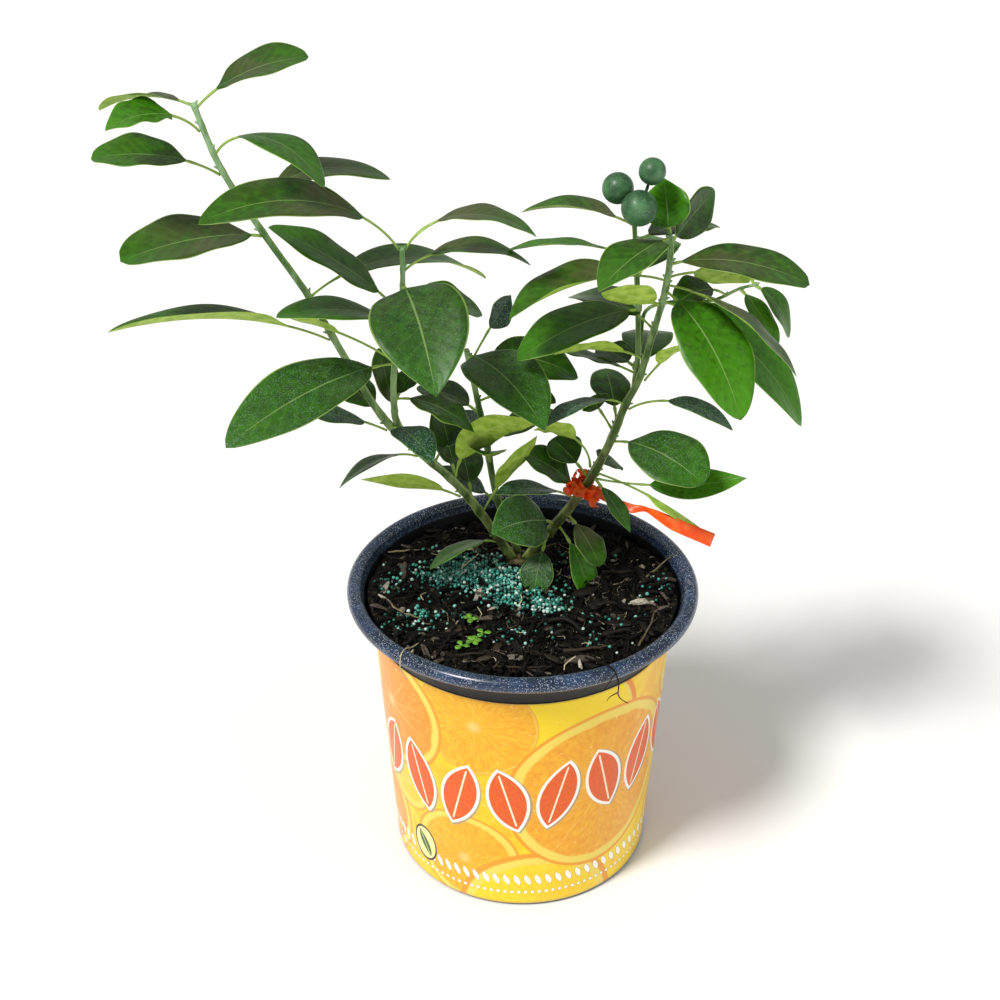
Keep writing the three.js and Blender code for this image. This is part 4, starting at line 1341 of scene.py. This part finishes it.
# Painted sheen: an olive tint towards the foot of the upper side, standing in for the glossy
# reflection on upward-facing leaves.
sheen = (olive * up_leaf.rise(1.1, 0.1) * patches.rise(0.3, 0.6)).least(0.85)
dried = wax.specks(1050, 0.4, 0.45).most(wax.specks(540, 0.26, 0.3))
speckle = (dried * (dust + wax.noise(24, 2) * 0.5 - 0.42)).rise(0.0, 0.75)
# The lighter cloudy patches and the lighter, yellower tip are partly the leaf's own mottling and
# partly painted highlights.
top = wax.layered(
    wax.mix(fresh, tint("142e07"), tint("3a7a08")),
    (wax.noise(230, 4).rise(0.45, 0.65) * 0.5, "0d2405"),
    (cloud.rise(0.42, 0.66) * 0.55, "35700e"),
    (up_leaf.rise(0.3, 1.0) * 0.4 * (0.2 + fresh), "549a12"),
    (sheen, "525432"), ((dust - 0.3) * 0.85 * (1 - fresh), "1f3f38"),
    (between * 0.07, "0c2607"), (veins * 0.09, "7f9f5a"), (rib_line * 0.5, "95b26a"),
    (margin * 0.6, "a5c868"), (speckle * 0.62, "8fb5a8"),
)
# The underside's bright yellow-green is partly the leaf's own colour and partly painted light shining
# through the leaf.
below = wax.layered(
    wax.mix(cloud.rise(0.3, 0.7), tint("8fb534"), tint("bdda5c")),
    (veins * 0.35, "b9d070"), (rib_line, "c2d684"), ((1 - fresh) * 0.25, "55782a"),
)
stalk_tone = wax.mix(cloud, tint("759c35"), tint("b2cd6a"))
blade = wax.mix(upper, below, top)
blade = wax.mix(up_leaf.rise(0.02, -0.02), blade, stalk_tone)
leaf_wax = wax.finish(
    Base_Color=blade,
    Roughness=0.6 - upper * 0.26 + dust * 0.14 + speckle * 0.15,
    Normal=wax.bump(
        between * 0.25 - rib_line * 0.8 * upper + cloud * 0.5 + speckle * 0.3, 0.45, 0.0006),
)

ALONG, ACROSS, STALK_RINGS = 30, 9, 7
STALK_FOOT_R = 1.35 * 1.1
STALK_IN_STEM = 2.5  # how deep a stalk's foot stands in its stem


def outline_half(share, width, shape):
    """The blade's half width at a share of its length."""
    if share >= 1:
        return 0
    skew, foot, tip = OUTLINES[shape][:3]
    full = foot + (tip - foot) * share
    return width / 2 * math.sin(math.pi * min(share ** skew, 1.0)) ** full


def leaf_surface(stem_name, row, draw):
    """Rings, map spots and upper-side values of one leaf, as a thin closed skin."""
    place, turn, rise, length, stalk, width, droop, roll, _, shape = row
    azimuth, roll = math.radians(turn), math.radians(roll)
    cup = draw.uniform(-0.05, 0.12)
    wave, waves = draw.uniform(0.02, 0.07), draw.uniform(1.2, 2.6)
    phase = draw.uniform(0, math.tau)
    twist = math.radians(draw.uniform(-6, 6))
    level = Vector((-math.sin(azimuth), math.cos(azimuth), 0))

    def heading_at(distance):
        slope = math.radians(rise - droop * (max(distance, 0) / length) ** 0.8)
        flat = math.cos(slope)
        return Vector((flat * math.cos(azimuth), flat * math.sin(azimuth), math.sin(slope)))

    bearer, bearer_heading, bearer_r = along(stem_name, place)
    out = heading_at(0)
    side = (out - bearer_heading * out.dot(bearer_heading)).normalized()
    lean = math.sqrt(max(0.0, 1 - out.dot(side) ** 2))
    centre = bearer + side * (bearer_r + STEM_GAP + STALK_FOOT_R * lean)
    stations = [-STALK_IN_STEM] + [stalk * i / STALK_RINGS for i in range(STALK_RINGS)]
    stations += [stalk + (length - stalk) * (i / ALONG) ** 0.9 for i in range(ALONG + 1)]
    centre = centre - out * STALK_IN_STEM
    rings, spots, uppers = [], [], []
    before = -STALK_IN_STEM
    for distance in stations:
        for bit in range(3):
            middle = before + (distance - before) * (bit + 0.5) / 3
            centre = centre + heading_at(middle) * ((distance - before) / 3)
        before = distance
        share = (distance - stalk) / (length - stalk)
        blade_half = outline_half(max(share, 0), width, shape)
        stalk_half = 0.8 + 0.5 * math.exp(-((distance + 1) / 3.0) ** 2)
        if shape == "winged" and share < 0:
            stalk_half += 3.4 * math.sin(math.pi * min(max(distance / stalk, 0), 1)) ** 2
        elif share < 0:
            stalk_half += 0.8 * math.exp(-((share * (length - stalk) + 2.5) / 4) ** 2)
        fade = max(0.0, 1 - max(share, 0) * 5)
        half = max(blade_half, stalk_half * fade, 0.12)
        thick = 0.22 + 0.65 * fade
        rim = 0.12 * (1 - fade) + 0.02
        ahead = heading_at(distance)
        ring_turn = roll + twist * max(share, 0)
        wide = Quaternion(ahead, ring_turn) @ level
        up = ahead.cross(wide)
        on_blade = min(max(share * 6, 0), 1)
        fold = math.tan(math.radians(OUTLINES[shape][3])) * on_blade
        ring = []
        for skin in (1, -1):
            for k in range(ACROSS):
                u = (-1 + 2 * k / (ACROSS - 1)) * skin
                u = math.copysign(abs(u) ** 0.85, u)
                x = u * half
                lift = fold * abs(x) * (1 - 0.35 * abs(u)) + cup * half * u * u * on_blade
                ripple = math.sin(math.tau * waves * max(share, 0) + phase + (1.9 if u > 0 else 0))
                lift += wave * half * abs(u) ** 3 * ripple * on_blade
                body = rim + (thick - rim) * math.sqrt(max(0.0, 1 - u * u)) ** (2 - fade)
                near_rib = math.exp(-(x / 1.3) ** 2) * (1 - max(share, 0)) * on_blade
                lift += skin * body + (-0.28 if skin > 0 else -0.5) * near_rib
                ring.append(centre + wide * x + up * lift)
                spots.append(((u + 1) / 2, max(share, -0.5)))
                uppers.append(1.0 if skin > 0 else 0.0)
        if share > 0.97 and shape == "notched":
            pull = ahead * -2.5
            ring = [point + pull * max(0, 1 - abs(spot[0] * 2 - 1))
                    for point, spot in zip(ring, spots[-2 * ACROSS:])]
        rings.append(ring)
    spots += [(0.5, -0.5), (0.5, 1.0)]
    uppers += [1.0, 1.0]
    return rings, spots, uppers


def leaves_piece(stem_name):
    """All the leaves of one stem as one piece."""
    rows = leaf_rows[stem_name]
    blades, spots = Lofts(), []
    values = {"upper": [], "freshness": [], "dust": [], "olive": []}
    draw = random.Random(stem_name)
    for row in filter(None, rows):
        rings, more_spots, uppers = leaf_surface(stem_name, row, draw)
        count = blades.add(rings)
        spots += more_spots
        values["upper"] += uppers
        for key, value in zip(("freshness", "dust", "olive"), LOOKS[row[8]]):
            value = min(max(value + draw.uniform(-0.08, 0.08), 0), 1)
            values[key] += [value] * count
    piece = solid(f"{stem_name}_leaves", blades.points, blades.faces, leaf_wax)
    lay_map(piece, spots)
    for key, numbers in values.items():
        piece.data.attributes.new(key, "FLOAT", "POINT").data.foreach_set("value", numbers)
    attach(piece, "root")
    framed = rows.index(None)
    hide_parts(*[f"{stem_name}_leaf_{index + 1}" for index in range(framed)])


for stem_name in leaf_rows:
    leaves_piece(stem_name)


# ---- the fruits ----------------------------------------------------------------------------
# Three unripe oranges at the top of the fruit stem: dark green, finely pored, each on a short
# stalk with a small five-pointed calyx.

peel = Paint("fruit_skin", IOR=1.47, Coat_Weight=0.1, Coat_Roughness=0.25)
pores = peel.cells(900)
mottle_and_sheen = peel.noise(70, 4)
# The paler green patches are partly the peel's own mottling and partly painted sheen.
peel_tone = peel.layered(
    peel.mix(mottle_and_sheen.rise(0.35, 0.68), tint("1c4727"), tint("487a4c")),
    (pores.rise(0.3, 0.05) * 0.6, "78a572"), (peel.specks(560, 0.2, 0.2) * 0.6, "8fb586"),
)
fruit_skin = peel.finish(
    Base_Color=peel_tone,
    Roughness=0.34 + mottle_and_sheen * 0.15,
    Normal=peel.bump(pores.rise(0.0, 0.45) + mottle_and_sheen * 0.2, 0.45, 0.0004),
)

FRUITS = [  # centre and radius from the crown, and the stalk's foot from the stem's tip
    ((66.5, -37, 327.7), 11.2, (-2.2, 0.8, 0.9)),
    ((88.6, -51, 344.5), 9.5, (2.2, 1.2, 1.4)),
    ((80, -59, 321), 12.6, (0.5, -2.5, -0.2)),
]


FRUIT_BANDS, FRUIT_SIDES, CALYX_R = 25, 40, 2.6


def fruit_piece(index, middle, radius, foot):
    """One fruit with its stalk and calyx, turned upright and then leant onto its axis."""
    start = along("fruit", 4)[0] + Vector(foot)
    axis = CROWN + Vector(middle) - start
    reach = axis.length
    profile = [(0, 0)]
    profile += [(1.25 - 0.2 * math.sin(math.pi * t), t * (reach - radius)) for t in
                (0.05, 0.3, 0.6, 0.85)]
    for band in range(FRUIT_BANDS + 1):
        slope = math.radians(-84 + 171 * band / FRUIT_BANDS)
        dimple = 0.5 * math.exp(-((slope - math.pi / 2) * 4) ** 2)
        profile.append((radius * math.cos(slope), reach + (radius - dimple) * math.sin(slope)))
    profile.append((0, reach + radius - 0.6))
    fruit = Lofts(*turned(profile, FRUIT_SIDES))
    calyx_z = reach - radius * 0.995
    for lobe in range(5):
        turn = math.tau * lobe / 5
        route = []
        for out in (CALYX_R * 0.2, CALYX_R * 0.6, CALYX_R):
            lift = 0.09 * out ** 2 * 12.6 / radius - 0.35
            route.append((out * math.cos(turn), out * math.sin(turn), calyx_z + lift))
        fruit.add(bent_rod(route, (0.75, 0.3), 6))
    spin = Vector((0, 0, 1)).rotation_difference(axis.normalized())
    points = [start + spin @ Vector(p) for p in fruit.points]
    piece = solid(f"fruit_{index}_skin", points, fruit.faces, fruit_skin)
    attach(piece, "root")
    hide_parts(f"fruit_{index}")


for index, (middle, radius, foot) in enumerate(FRUITS, 1):
    fruit_piece(index, middle, radius, foot)


# ---- the name tag --------------------------------------------------------------------------
# A strip of bright orange plastic tape, knotted round the right stem, twisted once and left
# hanging out to the right. It is blank.

tape = Paint("tape", IOR=1.5, Coat_Weight=0.2, Coat_Roughness=0.15)
creases = tape.noise(130, 4)
tape_tone = tape.mix(creases.rise(0.35, 0.7), tint("fa4a08"), tint("ff6e20"))
tape_tone = tape.mix(tape.noise(600, 2).rise(0.6, 0.8) * 0.25, tape_tone, tint("ff8a45"))
tape_finish = tape.finish(
    Base_Color=tape_tone,
    Roughness=0.28 + creases * 0.2,
    Normal=tape.bump(creases + tape.noise(420, 2) * 0.4, 0.5, 0.0008),
)

TIE_AT = 1.25  # the tie's place on the right stem
TAPE_SKIN, TAPE_COLUMNS = 0.3, 7
tie_centre, tie_heading, tie_stem_r = along("right", TIE_AT)


def tape_rings(route, rolls, halves, steps):
    """Rings of a flat strip along a route, with a roll in degrees and half width at each point."""
    rings = []
    spans = len(route) - 1
    for step in range(spans * steps + 1):
        place = step / steps
        span = min(int(place), spans - 1)
        roll = rolls[span] + (rolls[span + 1] - rolls[span]) * (place - span)
        half = halves[span] + (halves[span + 1] - halves[span]) * (place - span)
        point, ahead = spline(route, place)
        across = Quaternion(ahead, math.radians(roll)) @ Vector((0, 0, 1)).cross(ahead).normalized()
        up = ahead.cross(across)
        ring = []
        for skin_side in (1, -1):
            for u in np.linspace(1, -1, TAPE_COLUMNS) * skin_side:
                curl = 0.35 * u * u + 0.2 * math.sin(3 * u + 1.3 * place)
                ring.append(point + across * half * u + up * (curl + skin_side * TAPE_SKIN / 2))
        rings.append(ring)
    return rings


tag_foot = Vector((0.9, -0.4, -0.1)).normalized() * 9.1
# The strip's stops from the crown, and its roll in degrees and half width at each, foot first.
TAG_ROUTE = [(70, -22, 67), (87, -28, 62), (100, -33, 63), (121, -41, 55), (151, -49, 45)]
TAG_ROLLS = (60, 40, 55, 5, 45, 40)
TAG_HALVES = (3.6, 3.3, 3.7, 3.0, 5.3, 5.8)
tag_route = [tie_centre + tag_foot, *[CROWN + Vector(stop) for stop in TAG_ROUTE]]
tag_rings = tape_rings(tag_route, TAG_ROLLS, TAG_HALVES, 10)
strip = solid("tag_strip", *lofted(tag_rings), tape_finish)
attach(strip, "root")
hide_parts("name_tag")


BAND_STEPS, KNOT_LOOPS = 28, 11


def knot():
    """The knot: a crumpled band round the stem and loops of tape bunched against it."""
    draw = random.Random(4)
    across = tie_heading.cross(Vector((0, 1, 0))).normalized()
    out = tie_heading.cross(across)
    knotted = Lofts()
    band = []
    for step in range(BAND_STEPS + 1):
        turn = math.tau * step / BAND_STEPS * 1.02
        reach = tie_stem_r + 1.1 + 0.5 * noise.noise((3 * math.cos(turn), 3 * math.sin(turn), 0))
        side = across * math.cos(turn) + out * math.sin(turn)
        ring = []
        for skin in (0.8, 0):
            for u in np.linspace(1, -1, TAPE_COLUMNS) * (1 if skin else -1):
                crease = 0.5 * math.sin(7 * turn + 3 * u)
                ring.append(tie_centre + side * (reach + skin + 0.4 * crease)
                            + tie_heading * u * (5 + 0.6 * math.sin(3 * turn)))
        band.append(ring)
    knotted.add(band)
    for loop in range(KNOT_LOOPS):
        turn = math.tau * loop / KNOT_LOOPS + draw.uniform(-0.3, 0.3)
        side = across * math.cos(turn) + out * math.sin(turn)
        start = tie_centre + side * (tie_stem_r + 1.5) + tie_heading * draw.uniform(-3, 4)
        far = start + side * draw.uniform(5, 10) + tie_heading * draw.uniform(-3, 9)
        sweep = side.cross(tie_heading) * draw.uniform(-6, 6)
        route = [start, start.lerp(far, 0.6) + sweep * 0.5 + tie_heading * 2, far + sweep,
                 start.lerp(far, 0.55) + sweep - tie_heading * 2.5, start - tie_heading * 2]
        rolls = [draw.uniform(-50, 50) + 20 * k for k in range(5)]
        knotted.add(tape_rings(route, rolls, [draw.uniform(2.8, 5.0)] * 5, 6))
    return knotted.points, knotted.faces


tie = solid("tag_knot", *knot(), tape_finish)
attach(tie, "root")
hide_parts("tag_tie")
